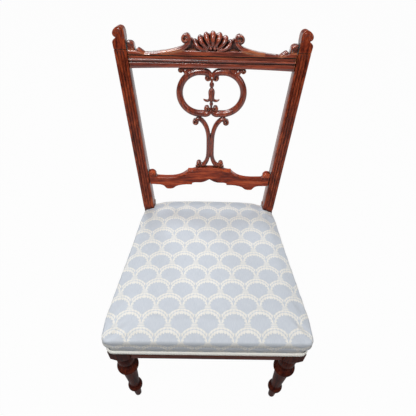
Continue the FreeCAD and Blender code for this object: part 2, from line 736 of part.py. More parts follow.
def husk():
    """Hanging bell flower on the middle line, turned about it."""
    up = RING_UP
    half = size.splat_thickness / 2
    profile = Outline(0, up + 32).line((2.5, up + 32), (2.2, up + 24)).arc((5, up + 19), (2.4, up + 14))
    profile.arc((7.5, up + 8), (7.6, up - 2)).arc((7, up - 9), (9, up - 14)).line((7, up - 17.5))
    profile.line((2.4, up - 19)).arc((4.2, up - 24), (2.4, up - 30))
    profile.line((2.4, up - HUSK_DROP), (0, up - HUSK_DROP)).close()
    shape = Part.Face(profile.wire()).revolve(Vector(0, 0, 0), Vector(0, 1, 0), 360)
    shape.translate(Vector(0, 0, -half))
    petal = Outline(4, up - 18).arc((12, up - 19.5), (19.5, up - 14)).line((18, up - 11.5))
    petal.arc((11, up - 14), (5, up - 9)).close()
    petals = petal.prism(-half - 4, -half + 4)
    return [shape, petals, petals.mirror(Vector(0, 0, 0), Vector(1, 0, 0))]


def back_splat():
    half = right_scrolls()
    tongue_depth = (size.splat_thickness - size.tongue_thickness) / 2
    tongues = []
    ring_top = RING_UP + size.ring_radius
    for x, low, high in (
            (RING_X, ring_top, ring_top + size.scroll_width / 2 + size.tongue_length),
            (SPLAT_FOOT_X, size.cross_top - size.tongue_length, size.cross_top + 5)):
        tongue = tongue_outline(x, low, high, 0)
        tongues.append(tongue.prism(-tongue_depth - size.tongue_thickness, -tongue_depth))
    shapes = both_sides(half + tongues) + husk()
    board = shapes[0].multiFuse(shapes[1:]).removeSplitter()
    feature = document.addObject("Part::Feature", "back_splat")
    feature.Shape = board
    front = Vector(0, -math.cos(LEAN), math.sin(LEAN)) * -size.splat_recess
    place = Vector(0, size.seat_frame_depth, size.knee_height) + front + SETBACK
    turn = FreeCAD.Rotation(Vector(1, 0, 0), 90 - size.back_lean)
    feature.Placement = FreeCAD.Placement(place, turn)
    return feature


# Seat rails, all of one height
def rail(label, outline):
    body = new_body(label + "_work")
    pad(body, new_sketch(body, outline, lift="rail_bottom"), "rail_height")
    return body


def front_rail_outline():
    end = size.leg_half_spacing - HALF_BLOCK
    back = FRAME_FRONT + size.rail_thickness
    return Outline(-end, FRAME_FRONT).line((end, FRAME_FRONT), (end, back), (-end, back)).close()


def back_rail_outline():
    return Outline(-POST_INNER, BACK_RAIL_FRONT).line(
        (POST_INNER, BACK_RAIL_FRONT), (POST_INNER, FRAME_BACK), (-POST_INNER, FRAME_BACK)).close()


def side_rail_outline():
    front = HALF_BLOCK
    back = size.seat_frame_depth
    return Outline(side_inner(front), front).line(
        (side_outer(front), front), (side_outer(back), back), (side_inner(back), back)).close()


# Corner blocks, each cut to the corner that it stiffens
FRONT_BLOCK_END = 80
REAR_BLOCK_END = size.seat_frame_depth - 50


def front_block_outline():
    inner_leg = size.leg_half_spacing - HALF_BLOCK
    face = FRAME_FRONT + size.rail_thickness
    return Outline(inner_leg, face).line(
        (inner_leg - size.block_reach, face), (side_inner(FRONT_BLOCK_END), FRONT_BLOCK_END),
        (side_inner(HALF_BLOCK), HALF_BLOCK),
        (inner_leg, HALF_BLOCK)).close()


def back_block_outline():
    post_front = size.seat_frame_depth
    return Outline(POST_INNER, BACK_RAIL_FRONT).line(
        (POST_INNER, post_front), (side_inner(post_front), post_front),
        (side_inner(REAR_BLOCK_END), REAR_BLOCK_END),
        (POST_INNER - size.block_reach, BACK_RAIL_FRONT)).close()


def corner_block(label, outline):
    body = new_body(label + "_work")
    pad(body, new_sketch(body, outline, lift="rail_bottom + block_lift"), "block_height")
    return body


# Webbing: long webs lie on the rails, cross webs pass over them
def long_webs():
    webs = []
    start = FRAME_FRONT + 5
    for x in WEB_ACROSS:
        corner = Vector(x - size.strap_width / 2, start, RAIL_TOP)
        webs.append(Part.makeBox(size.strap_width, FRAME_BACK - 5 - start, size.strap_thickness, corner))
    return webs


def cross_webs():
    webs = []
    thick = size.strap_thickness
    rise_end = max(WEB_ACROSS) + size.strap_width / 2 + 4
    for depth in WEB_DEPTHS:
        reach = side_outer(depth + size.strap_width / 2) - 6
        half = Outline(0, RAIL_TOP + thick).line((rise_end, RAIL_TOP + thick), (rise_end + 14, RAIL_TOP))
        half.line((reach, RAIL_TOP), (reach, RAIL_TOP + thick), (rise_end + 14, RAIL_TOP + thick))
        half.line((rise_end, RAIL_TOP + 2 * thick), (0, RAIL_TOP + 2 * thick))
        web = Part.Face(half.mirrored().wire()).extrude(Vector(0, 0, size.strap_width))
        web.rotate(Vector(0, 0, 0), Vector(1, 0, 0), 90)
        web.translate(Vector(0, depth + size.strap_width / 2, 0))
        webs.append(web)
    return webs


# Flat cloths
def seat_cloth_outline(inset, room):
    front = FRAME_FRONT + inset
    reach = FRAME_SIDE - inset
    rear = size.seat_frame_depth - room
    half = Outline(0, front).line((reach, front), (reach, HALF_BLOCK))
    half.line((side_outer(rear) - inset, rear), (POST_INNER - room, rear))
    half.line((POST_INNER - room, FRAME_BACK - inset), (0, FRAME_BACK - inset))
    return half.mirrored()


def bottom_cloth_outline():
    leg = size.leg_half_spacing - HALF_BLOCK - 2
    front = FRAME_FRONT + 8
    rear = size.seat_frame_depth - 2
    turn = HALF_BLOCK + 2
    half = Outline(0, front).line((leg, front), (leg, turn), (side_outer(turn) - 8, turn))
    half.line((side_outer(rear) - 8, rear), (POST_INNER - 2, rear))
    half.line((POST_INNER - 2, FRAME_BACK - 4), (0, FRAME_BACK - 4))
    return half.mirrored()


def flat_cloth(label, outline, lift):
    body = new_body(label)
    pad(body, new_sketch(body, outline, lift=lift), "cloth_thickness")
    return body


# Upholstered seat: level sections with round corners, drawn in below and crowned above
def seat_section(height, front, side, back):
    corner = max(size.frame_corner_radius + side, 3)
    bend = corner * (1 - math.sqrt(0.5))
    y_front = FRAME_FRONT - front
    y_back = FRAME_BACK + back
    x_front = FRAME_SIDE + side
    turn = max(HALF_BLOCK, y_front + corner + 1)
    x_back = side_outer(y_back - 8) + side
    half = Outline(0, y_front).line((x_front - corner, y_front))
    half.arc((x_front - bend, y_front + bend), (x_front, y_front + corner)).line((x_front, turn))
    half.line((x_back, y_back - 8)).arc((x_back - 2.5, y_back - 2.3), (x_back - 8, y_back))
    half.line((0, y_back))
    return half.mirrored().wire(height)


WALL_STEPS = 4
ROLL_STEPS = 5
CROWN_STEPS = 4
ROLL_RISE = 19
ROLL_REACH = 22
CROWN_REACH = 100
BACK_BULGE = 2


def seat_profile(bulge):
    """Height and overhang of the padded side: wall, roll and crown, for one bulge."""
    step = size.show_wood_top + size.trim_height + 4
    wide = size.seat_edge_height - 12
    points = []
    for count in range(WALL_STEPS):
        turn = math.radians(90 * count / WALL_STEPS)
        points.append((step + (wide - step) * count / WALL_STEPS, bulge * math.sin(turn), 0))
    for count in range(ROLL_STEPS):
        turn = math.radians(76 * count / (ROLL_STEPS - 1))
        reach = bulge - ROLL_REACH * (1 - math.cos(turn))
        points.append((wide + ROLL_RISE * math.sin(turn), reach, math.sin(turn)))
    high, reach, share = points[-1]
    crown = size.seat_edge_height + size.seat_crown
    for count in range(1, CROWN_STEPS + 1):
        run = count / CROWN_STEPS
        rise = (crown - high) * (1 - (1 - run) ** 2)
        points.append((high + rise, reach - CROWN_REACH * run, 1))
    return points


def seat_form(inset, floor):
    """The whole padded form, drawn in by an inset on every side."""
    base = COVER_FACE - inset
    rows = [seat_section(floor, base, base, base)]
    bulges = (size.front_bulge, size.side_bulge, BACK_BULGE)
    for front, side, back in zip(*[seat_profile(bulge) for bulge in bulges]):
        height = front[0] - inset * front[2]
        rows.append(seat_section(height, base + front[1], base + side[1], base + back[1]))
    return Part.makeLoft(rows, True, True)


def post_cuts():
    """Clear space round the two posts."""
    room = size.soft_gap
    corner = Vector(POST_INNER - room, size.seat_frame_depth - room, size.rail_bottom)
    return both_sides([Part.makeBox(90, 90, 200, corner)])


def seat_layers():
    floor = RAIL_TOP + 2 * size.strap_thickness + size.cloth_thickness
    above = Part.makeBox(900, 900, 200, Vector(-450, -250, floor))
    outside = seat_form(0, size.show_wood_top)
    inside = seat_form(size.cover_thickness, size.show_wood_top - 1)
    wad = seat_form(size.cover_thickness + size.soft_gap, size.show_wood_top).common(above)
    hair = seat_form(size.cover_thickness + 2 * size.soft_gap + size.wadding_thickness, size.show_wood_top)
    bed = seat_form(size.cover_thickness + size.soft_gap + size.wadding_thickness, size.show_wood_top - 1)
    posts = post_cuts()
    cover = outside.cut([inside] + posts)
    wadding = wad.cut([bed] + posts)
    stuffing = hair.common(above).cut(posts)
    return cover, wadding, stuffing


def trimming():
    """Braid over the cover's lower edge, open where the posts stand."""
    near = COVER_FACE + size.tack_head_thickness + 0.2
    far = near + size.trim_thickness
    low = size.show_wood_top
    high = low + size.trim_height
    outer = Part.makeLoft([seat_section(z, far, far, far) for z in (low, high)], True, True)
    inner = Part.makeLoft([seat_section(z, near, near, near) for z in (low - 1, high + 1)], True, True)
    corner = Vector(POST_INNER - 2, size.seat_frame_depth - 2, low - 5)
    return outer.cut([inner] + both_sides([Part.makeBox(90, 90, 60, corner)]))


# Assembly: every entry is one named piece
nodes = []


def keep(feature, label):
    feature.Label = label
    nodes.append(feature)


for label, blank in (("front_leg", front_leg()), ("back_post", back_post())):
    document.recompute()
    keep(drilled(blank, label + "_right"), label + "_right")
    keep(drilled(mirror(blank, label + "_left_work"), label + "_left"), label + "_left")

keep(crest_rail(), "crest_rail")
keep(cross_rail(), "cross_rail")
keep(back_splat(), "back_splat")

keep(drilled(rail("front_seat_rail", front_rail_outline()), "front_seat_rail"), "front_seat_rail")
keep(drilled(rail("back_seat_rail", back_rail_outline()), "back_seat_rail"), "back_seat_rail")
for label, blank in (
        ("side_seat_rail", rail("side_seat_rail_right", side_rail_outline())),
        ("front_corner_block", corner_block("front_corner_block_right", front_block_outline())),
        ("back_corner_block", corner_block("back_corner_block_right", back_block_outline()))):
    document.recompute()
    keep(drilled(blank, label + "_right"), label + "_right")
    keep(drilled(mirror(blank, label + "_left_work"), label + "_left"), label + "_left")

GROUPS = (
    ("seat_rail_dowels", dowels(0)),
    ("corner_block_screws", screws(0)),
    ("webbing_tacks", web_tacks(tack)),
    ("cover_tacks", cover_tacks(tack)),
    ("bottom_cloth_tacks", bottom_tacks(tack)),
)
for label, shapes in GROUPS:
    keep(solid_feature(label, Part.makeCompound(shapes)), label)

for label, webs in (("webbing_lengthwise", long_webs()), ("webbing_crosswise", cross_webs())):
    keep(drilled(solid_feature(label + "_work", Part.makeCompound(webs)), label), label)

HESSIAN_LIFT = "rail_bottom + rail_height + 2 * strap_thickness"
keep(flat_cloth("hessian", seat_cloth_outline(4, size.soft_gap), HESSIAN_LIFT), "hessian")
bottom = flat_cloth("bottom_cloth_work", bottom_cloth_outline(), "rail_bottom - cloth_thickness")
keep(drilled(bottom, "bottom_cloth"), "bottom_cloth")

cover, wadding, stuffing = seat_layers()
keep(solid_feature("seat_stuffing", stuffing), "seat_stuffing")
keep(solid_feature("wadding", wadding), "wadding")
keep(drilled(solid_feature("seat_cover_work", cover), "seat_cover"), "seat_cover")
keep(solid_feature("seat_trimming", trimming()), "seat_trimming")

document.recompute()
for item in document.Objects:
    if "Invalid" in item.State or "Error" in item.State:
        raise ValueError("%s could not be built: %s" % (item.Label, item.State))
whole = FreeCAD.BoundBox()
for node in nodes:
    if node.Shape.isNull() or not node.Shape.isValid():
        raise ValueError("%s has no valid shape" % node.Label)
    whole.add(node.Shape.BoundBox)
os.makedirs("parts", exist_ok=True)
for node in nodes:
    node.Shape.exportStep("parts/%s.step" % node.Label)
print("%d pieces, x %.2f to %.2f, y %.2f to %.2f, z %.2f to %.2f" % (
    len(nodes), whole.XMin, whole.XMax, whole.YMin, whole.YMax, whole.ZMin, whole.ZMax))
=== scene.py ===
# %% [markdown]
# A carved salon side chair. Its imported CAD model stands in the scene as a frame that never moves,
# and this lesson dresses it: carved and turned wood, a padded seat in a woven cover, and a ribbed
# braid. Every length below is in millimetres until a piece is finished, and then it becomes metres.

# %% Load the frame
import math

import bmesh
import bpy
from mathutils import Matrix, Vector, noise


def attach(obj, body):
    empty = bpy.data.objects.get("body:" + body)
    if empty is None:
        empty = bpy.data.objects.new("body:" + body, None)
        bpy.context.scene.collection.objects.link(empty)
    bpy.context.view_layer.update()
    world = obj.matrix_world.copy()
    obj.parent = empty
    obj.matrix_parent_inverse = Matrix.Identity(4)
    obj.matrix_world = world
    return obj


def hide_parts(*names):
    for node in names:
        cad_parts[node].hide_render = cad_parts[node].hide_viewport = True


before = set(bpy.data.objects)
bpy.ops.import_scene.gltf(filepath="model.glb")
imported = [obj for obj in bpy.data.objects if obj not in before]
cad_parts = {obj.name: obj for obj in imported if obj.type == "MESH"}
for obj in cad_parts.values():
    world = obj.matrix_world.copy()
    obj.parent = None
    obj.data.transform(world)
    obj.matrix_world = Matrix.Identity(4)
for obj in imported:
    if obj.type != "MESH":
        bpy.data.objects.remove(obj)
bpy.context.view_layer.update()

# %% [markdown]
# The photograph was taken by a person who stood close in front of the chair and looked down at it.
# A steep, near view makes the seat look large and the legs short, so the camera's place matters more
# than its lens. Its place and turn were worked out from the chair's own straight lines.

# %% Camera at the photograph's angle
YAW, PITCH, ROLL = (math.radians(angle) for angle in (0.95, 47.56, 1.73))
FOCAL = 372.86 / 416 * 36
CENTRE_SHIFT = 1.54 / 416

ahead = Vector((math.sin(YAW) * math.cos(PITCH), math.cos(YAW) * math.cos(PITCH), -math.sin(PITCH)))
level = Vector((math.cos(YAW), -math.sin(YAW), 0))
upward = level.cross(ahead)
right = level * math.cos(ROLL) + upward * math.sin(ROLL)
top = upward * math.cos(ROLL) - level * math.sin(ROLL)
lens = bpy.data.cameras.new("camera")
lens.lens = FOCAL
lens.sensor_width = 36
lens.shift_y = CENTRE_SHIFT
camera = bpy.data.objects.new("camera", lens)
camera.matrix_world = Matrix((right, top, -ahead)).transposed().to_4x4()
camera.matrix_world.translation = (-0.01338, -0.58222, 1.21507)
bpy.context.scene.collection.objects.link(camera)
bpy.context.scene.camera = camera
print("camera lens", round(FOCAL, 2), "mm")

# %% [markdown]
# A material is a small network of nodes. Sums on surface values come up again and again, so a short
# class writes them the way one writes them on paper, and each sum becomes one Math node.


# %% Sums on surface values
class Field:
    """A number that varies over a surface."""

    def __init__(self, tree, socket):
        self.tree = tree
        self.socket = socket

    def sum(self, kind, *others):
        node = self.tree.nodes.new("ShaderNodeMath")
        node.operation = kind
        for place, part in zip(node.inputs, (self,) + others):
            if isinstance(part, Field):
                self.tree.links.new(part.socket, place)
            else:
                place.default_value = part
        return Field(self.tree, node.outputs[0])

    def __add__(self, other):
        return self.sum("ADD", other)

    def __sub__(self, other):
        return self.sum("SUBTRACT", other)

    def __mul__(self, other):
        return self.sum("MULTIPLY", other)

    def __truediv__(self, other):
        return self.sum("DIVIDE", other)

    def ramp(self, low, high, start=0.0, end=1.0):
        """Goes smoothly from start to end while the value goes from low to high."""
        node = self.tree.nodes.new("ShaderNodeMapRange")
        node.interpolation_type = "SMOOTHSTEP"
        self.tree.links.new(self.socket, node.inputs["Value"])
        for name, number in (("From Min", low), ("From Max", high), ("To Min", start), ("To Max", end)):
            node.inputs[name].default_value = number
        return Field(self.tree, node.outputs["Result"])


class Finish:
    """One material: its surface shader and the fields that feed it."""

    def __init__(self, name, **settings):
        self.material = bpy.data.materials.new(name)
        self.material.use_nodes = True
        self.tree = self.material.node_tree
        self.shader = self.tree.nodes["Principled BSDF"]
        for socket, number in settings.items():
            self.shader.inputs[socket.replace("_", " ")].default_value = number

    def node(self, kind, **links):
        node = self.tree.nodes.new(kind)
        for name, value in links.items():
            place = node.inputs[name.replace("_", " ")]
            if isinstance(value, Field):
                self.tree.links.new(value.socket, place)
            else:
                place.default_value = value
        return node

    def place(self, scale=(1, 1, 1), source="Object"):
        """Coordinates on the piece, stretched."""
        start = self.tree.nodes.new("ShaderNodeTexCoord")
        mapping = self.node("ShaderNodeMapping", Scale=scale)
        self.tree.links.new(start.outputs[source], mapping.inputs["Vector"])
        return Field(self.tree, mapping.outputs["Vector"])

    def clouds(self, where, scale, detail=4.0, rough=0.55, distortion=0.0):
        node = self.node("ShaderNodeTexNoise", Vector=where, Scale=scale, Detail=detail,
                         Roughness=rough, Distortion=distortion)
        return Field(self.tree, node.outputs["Fac"])

    def colours(self, amount, *stops):
        """Runs from colour to colour as the amount grows."""
        node = self.tree.nodes.new("ShaderNodeValToRGB")
        self.tree.links.new(amount.socket, node.inputs["Fac"])
        ramp = node.color_ramp
        while len(ramp.elements) < len(stops):
            ramp.elements.new(0.5)
        for element, (position, colour) in zip(ramp.elements, stops):
            element.position = position
            element.color = (*colour, 1)
        return Field(self.tree, node.outputs["Color"])

    def mix(self, amount, first, second, kind="MIX"):
        node = self.tree.nodes.new("ShaderNodeMix")
        node.data_type = "RGBA"
        node.blend_type = kind
        for name, value in (("Factor", amount), ("A", first), ("B", second)):
            place = [item for item in node.inputs
                     if item.name == name and item.type == ("VALUE" if name == "Factor" else "RGBA")][0]
            if isinstance(value, Field):
                self.tree.links.new(value.socket, place)
            else:
                place.default_value = value if name == "Factor" else (*value, 1)
        return Field(self.tree, [item for item in node.outputs if item.type == "RGBA"][0])

    def wear(self, socket, value):
        self.tree.links.new(value.socket, self.shader.inputs[socket])

    def bump(self, height, distance, strength=1.0):
        node = self.node("ShaderNodeBump", Height=height, Strength=strength, Distance=distance)
        self.tree.links.new(node.outputs["Normal"], self.shader.inputs["Normal"])


print("sums and finishes ready")

# %% [markdown]
# The wood is stained a reddish brown and polished by hand. Three things give it its look: the grain
# runs along each piece, the carving is darker, with some dust and painted shade, and the arrises are
# lighter, with some wear and a painted highlight. The grain is noise squeezed across the piece. The
# dark and the light places come from how enclosed a spot is, seen from outside and from inside the
# wood.


# %% Stained wood
def hollows(finish, distance, inside=False):
    node = finish.tree.nodes.new("ShaderNodeAmbientOcclusion")
    node.samples = 8
    node.inside = inside
    node.inputs["Distance"].default_value = distance
    return Field(finish.tree, node.outputs["AO"])


# Colours for the darker carving (dust and painted shade), the lighter arrises (wear and a painted
# highlight) and a dark stain that paints shade.
DUST_AND_SHADE, WEAR_AND_HIGHLIGHT, SHADE_STAIN = (0.006, 0.0018, 0.0014), (0.50, 0.150, 0.045), (0.015, 0.0060, 0.0062)


def stained_wood(name, across, painted_shade=0.0, polish=0.4, painted_light=1.0):
    """Across squeezes the noise; painted_shade mixes in a dark stain, which paints shade, and
    painted_light makes the whole lighter, which paints light.
    """
    finish = Finish(name, Specular_IOR_Level=polish * polish / 2, Coat_Weight=polish,
                    Coat_Roughness=0.12, Coat_IOR=1.45)
    where = finish.place(scale=across)
    figure = finish.clouds(where, 12, 3, 0.6, 0.6)
    fibre = finish.clouds(where, 55, 6, 0.65)
    streak = finish.clouds(where, 22, 2, 0.5)
    tone = figure * 0.55 + fibre * 0.3 + streak * 0.15
    colour = finish.colours(
        tone, (0.35, (0.026, 0.0050, 0.0034)), (0.45, (0.125, 0.0170, 0.0075)),
        (0.55, (0.290, 0.0450, 0.0150)), (0.70, (0.500, 0.1250, 0.0420)))
    # Darker where the carving closes in: some real dust, and painted shade.
    dust_and_shade = hollows(finish, 0.013).ramp(0.35, 1.0)
    colour = finish.mix(dust_and_shade, DUST_AND_SHADE, colour)
    # Lighter on the arrises: some real wear, and a painted highlight.
    wear_and_highlight = hollows(finish, 0.0022, inside=True).ramp(0.50, 0.95, 0.8, 0.0)
    colour = finish.mix(wear_and_highlight * fibre.ramp(0.3, 0.7, 0.3, 1.0), colour, WEAR_AND_HIGHLIGHT)
    # A darker copy of the stain for pieces that stand in shade: painted shade.
    colour = finish.mix(painted_shade, colour, SHADE_STAIN)
    # A lighter copy for pieces that are lit brighter: painted light.
    colour = finish.mix(1.0, colour, (painted_light, painted_light, painted_light), "MULTIPLY")
    finish.wear("Base Color", colour)
    finish.wear("Roughness", fibre.ramp(0.3, 0.75, 0.26, 0.44))
    finish.bump(fibre * 0.7 + streak * 0.3, 0.0005, 0.35)
    return finish.material


GRAIN_UP = stained_wood("stained_wood_upright", (11, 11, 0.9))
GRAIN_BACK = stained_wood("stained_wood_lengthwise", (11, 0.9, 11))
# The splat, crest, cross rail, legs and rails get darker or lighter copies of the same stain: painted
# shade and painted light.
SPLAT_WOOD = stained_wood("stained_wood_splat", (11, 11, 0.9), 0.25, 0.85, 1.25)
CREST_WOOD = stained_wood("stained_wood_crest", (0.9, 11, 11), 0.06, 1.0, 1.15)
CROSS_WOOD = stained_wood("stained_wood_cross", (0.9, 11, 11), 0.0, 0.4, 1.4)
LEG_WOOD = stained_wood("stained_wood_legs", (11, 11, 0.9), 0.72, 0.06)
RAIL_WOOD = stained_wood("stained_wood_rails", (0.9, 11, 11), 0.5, 0.06)


def raw_beech():
    finish = Finish("raw_beech", Roughness=0.62)
    where = finish.place(scale=(9, 1.2, 9))
    fibre = finish.clouds(where, 60, 5, 0.6)
    fleck = finish.clouds(finish.place(scale=(40, 6, 40)), 30, 2)
    colour = finish.colours(fibre * 0.7 + fleck * 0.3, (0.3, (0.42, 0.25, 0.12)),
                            (0.7, (0.62, 0.43, 0.25)))
    finish.wear("Base Color", colour)
    finish.bump(fibre, 0.0004, 0.4)
    return finish.material


BEECH = raw_beech()
print("wood finishes:", GRAIN_UP.name, GRAIN_BACK.name, CROSS_WOOD.name, BEECH.name)

# %% [markdown]
# The cover is a woven furnishing cloth. Its pattern is an old one: rows of scales, each row set half
# a scale sideways, with a pale leafy band over each arch and a ladder of short dashes between arches.
# One scale is drawn with a circle and two straight sides, and folding the coordinates repeats it.

# %% Woven cover
SCALE_WIDTH = 57.7
HALF_SCALE = SCALE_WIDTH / 2
ROW_STEP = 39.3
ARCH_TOP = 28.0
ARCH_RADIUS = 34.9
ARCH_DROP = ARCH_TOP - ARCH_RADIUS
EYE_HALF = 23.6


def woven_cover():
    finish = Finish("woven_cover", Roughness=0.85, Sheen_Weight=0.2, Sheen_Roughness=0.4)
    where = finish.place(source="UV")
    split = finish.node("ShaderNodeSeparateXYZ", Vector=where)
    u = Field(finish.tree, split.outputs["X"]) * 1000
    v = Field(finish.tree, split.outputs["Y"]) * 1000
    drop = (v * -1 + ARCH_TOP)
    row = (drop / ROW_STEP).sum("FLOOR")
    high = (drop - row * ROW_STEP) * -1 + ARCH_TOP
    odd = row.sum("FLOORED_MODULO", 2.0)
    wide = (u + odd * HALF_SCALE).sum("PINGPONG", HALF_SCALE)
    reach = (wide * wide + (high - ARCH_DROP) * (high - ARCH_DROP)).sum("SQRT")
    front = reach.sum("LESS_THAN", ARCH_RADIUS)
    behind = front * -1 + 1
    x = wide * front + (wide * -1 + HALF_SCALE) * behind
    y = high - behind * ROW_STEP
    reach = (x * x + (y - ARCH_DROP) * (y - ARCH_DROP)).sum("SQRT")
    # The eye of the scale: a low oval above, straight sides below
    lift = (y + 3).sum("MAXIMUM", 0.0) * 1.24
    fall = (y * -1 - 3).sum("MAXIMUM", 0.0)
    angle = (y - ARCH_DROP).sum("ARCTAN2", x)
    above = y.ramp(-4, -1)
    below = above * -1 + 1
    teeth = (angle * 22).sum("SINE") * above + (y * 1.9).sum("SINE") * below
    edge = (x * x + lift * lift).sum("SQRT") + fall * 0.24 + teeth * 1.5
    band = edge.ramp(EYE_HALF - 0.8, EYE_HALF + 0.8)
    # Two strands along the arch, a thin line where two arches meet, a ladder below
    inset = reach * -1 + ARCH_RADIUS
    parting = (inset - 5.0).sum("ABSOLUTE").ramp(0.5, 1.5) * -1 + 1
    strokes = ((angle * 13 + inset * 0.20) * 2).sum("SINE").ramp(-0.2, 0.8)
    strands = parting * -0.6 - strokes * 0.34 + 1
    rim = inset.ramp(0.0, 1.4, 0.72, 1.0)
    side = (x * -1 + HALF_SCALE)
    meeting = side.ramp(0.7, 1.5) * -1 + 1
    seam = meeting * y.ramp(-2, 1) * 0.75
    dashes = (y * 1.9).sum("SINE").ramp(-0.5, 0.5, 0.35, 1.0)
    ladder = dashes.sum("MAXIMUM", side.ramp(3.2, 5.5) * 0.55)
    pale = (strands * above + ladder * below) * rim - seam
    tip = ((x * x * 2.2 + (y + 25) * (y + 25)).sum("SQRT")).ramp(1.0, 2.6) * -0.5 + 0.5
    figure = (band * pale).sum("MAXIMUM", tip).ramp(0.0, 1.0)
    patch = finish.clouds(where, 60, 4, 0.6)
    thread = finish.clouds(finish.place(scale=(1500, 90, 1), source="UV"), 1, 2)
    slub = finish.clouds(finish.place(scale=(160, 2200, 1), source="UV"), 1, 2)
    ground = finish.colours(thread * 0.75 + patch * 0.25, (0.3, (0.475, 0.515, 0.580)),
                            (0.7, (0.594, 0.625, 0.673)))
    raised = finish.colours(slub * 0.6 + patch * 0.4, (0.3, (0.710, 0.695, 0.650)),
                            (0.7, (0.830, 0.808, 0.765)))
    finish.wear("Base Color", finish.mix(figure, ground, raised))
    height = figure * 0.8 + thread * 0.2 + slub * figure * 0.3
    finish.bump(height, 0.0005, 0.7)
    return finish.material


COVER = woven_cover()


def spun_cloth(name, dark, light, pitch):
    """A plain weave: threads over and under each other."""
    finish = Finish(name, Roughness=0.9, Sheen_Weight=0.15)
    where = finish.place(scale=(1 / pitch, 1 / pitch, 1 / pitch))
    split = finish.node("ShaderNodeSeparateXYZ", Vector=where)
    along = (Field(finish.tree, split.outputs["X"]) * math.pi).sum("SINE")
    over = (Field(finish.tree, split.outputs["Y"]) * math.pi).sum("SINE")
    weave = (along * over).ramp(-1, 1)
    patch = finish.clouds(finish.place(), 90, 3)
    finish.wear("Base Color", finish.colours(weave * 0.5 + patch * 0.5, (0.2, dark), (0.8, light)))
    finish.bump(weave, 0.0004, 0.8)
    return finish.material


def ribbed_braid():
    """Cream cord, with painted shade between its ribs."""
    finish = Finish("cream_braid", Roughness=0.9, Sheen_Weight=0.2)
    patch = finish.clouds(finish.place(), 300, 3)
    cord = finish.colours(patch, (0.3, (0.94, 0.93, 0.86)), (0.7, (0.99, 0.985, 0.94)))
    # Grey-brown where the ribs close in: painted shade.
    finish.wear("Base Color", finish.mix(hollows(finish, 0.0016).ramp(0.20, 0.55), (0.40, 0.38, 0.32),
                                         cord))
    return finish.material


BRAID = ribbed_braid()
JUTE = spun_cloth("jute", (0.22, 0.14, 0.07), (0.45, 0.32, 0.18), 0.0016)
BLACK_COTTON = spun_cloth("black_cotton", (0.008, 0.008, 0.009), (0.022, 0.022, 0.024), 0.0006)


def worked_metal(name, dark, light, rough):
    finish = Finish(name, Metallic=1.0)
    patch = finish.clouds(finish.place(), 400, 4)
    finish.wear("Base Color", finish.colours(patch, (0.3, dark), (0.7, light)))
    finish.wear("Roughness", patch.ramp(0.3, 0.7, rough, rough + 0.2))
    return finish.material


STEEL = worked_metal("screw_steel", (0.22, 0.21, 0.20), (0.42, 0.41, 0.39), 0.35)
IRON = worked_metal("tack_iron", (0.05, 0.05, 0.06), (0.12, 0.12, 0.14), 0.45)
print("cloths and metals:", COVER.name, BRAID.name, JUTE.name, BLACK_COTTON.name, STEEL.name, IRON.name)

# %% [markdown]
# All carved pieces of the back lie in one leaning board. It is simplest to carve them flat, with x
# across, s up the board and n out of its face, and to lean each finished piece into place at the end.

# %% Carving tools
SETBACK = 227.98
KNEE = 440.9
POST_FRONT, POST_LENGTH, POST_SPREAD = 357.6, 428, 37
POST_ROOM = 153
FRAME_FRONT, FRAME_BACK, FRAME_SIDE, FRAME_NARROW = -23, 387.1, 223, 179.5
LEAN = math.radians(13.63)
UP_BOARD = Vector((0, math.sin(LEAN), math.cos(LEAN)))
OUT_OF_BOARD = Vector((0, -math.cos(LEAN), math.sin(LEAN)))
BOARD = Matrix((Vector((1, 0, 0)), UP_BOARD, OUT_OF_BOARD)).transposed().to_4x4()
BOARD.translation = (0, POST_FRONT - SETBACK, KNEE)
METRES = Matrix.Diagonal((0.001, 0.001, 0.001, 1))


def smooth_line(points, step):
    """Points every step along a smooth curve through the given ones; extra numbers go along."""
    points = [Vector(point) for point in points]
    ends = [points[0] * 2 - points[1]] + points + [points[-1] * 2 - points[-2]]
    line = [points[0]]
    for a, b, c, d in zip(ends, ends[1:], ends[2:], ends[3:]):
        gap = c - b
        length = gap.to_2d().length if len(b) > 2 else gap.length
        count = max(1, round(length / step))
        for k in range(1, count + 1):
            t = k / count
            line.append(0.5 * (2 * b + (c - a) * t + (2 * a - 5 * b + 4 * c - d) * t ** 2
                               + (3 * b - a - 3 * c + d) * t ** 3))
    return line


def closed_line(points, step):
    """Points along a smooth closed outline."""
    return smooth_line(points + points[:1], step)[:-1]


def skin(bm, rings):
    """A bar through a row of rings: a grid rolled into a tube and closed at both ends."""
    sides = len(rings[0])
    last = len(rings) - 1
    verts = bmesh.ops.create_grid(bm, x_segments=last, y_segments=sides, size=1)["verts"]
    places = [(round((vert.co.x + 1) / 2 * last), round((vert.co.y + 1) / 2 * sides)) for vert in verts]
    for vert, (row, place) in zip(verts, places):
        vert.co = rings[row][place % sides]
    seam = [vert for vert, (row, place) in zip(verts, places) if place in (0, sides)]
    bmesh.ops.remove_doubles(bm, verts=seam, dist=0.00001)
    ends = {edge for vert in verts if vert.is_valid for edge in vert.link_edges if edge.is_boundary}
    bmesh.ops.holes_fill(bm, edges=list(ends), sides=sides)


def domed(width, depth, crown):
    """A carved bar's section: round in front, flat behind, with softened back edges."""
    half = width / 2
    soft = min(1.0, half * 0.4)
    front = []
    for k in range(9):
        turn = math.pi * k / 8
        front.append((-half * math.cos(turn), crown * (math.sin(turn) - 1)))
    return front + [(half, -depth + soft), (half - soft, -depth), (-half + soft, -depth),
                    (-half, -depth + soft)]


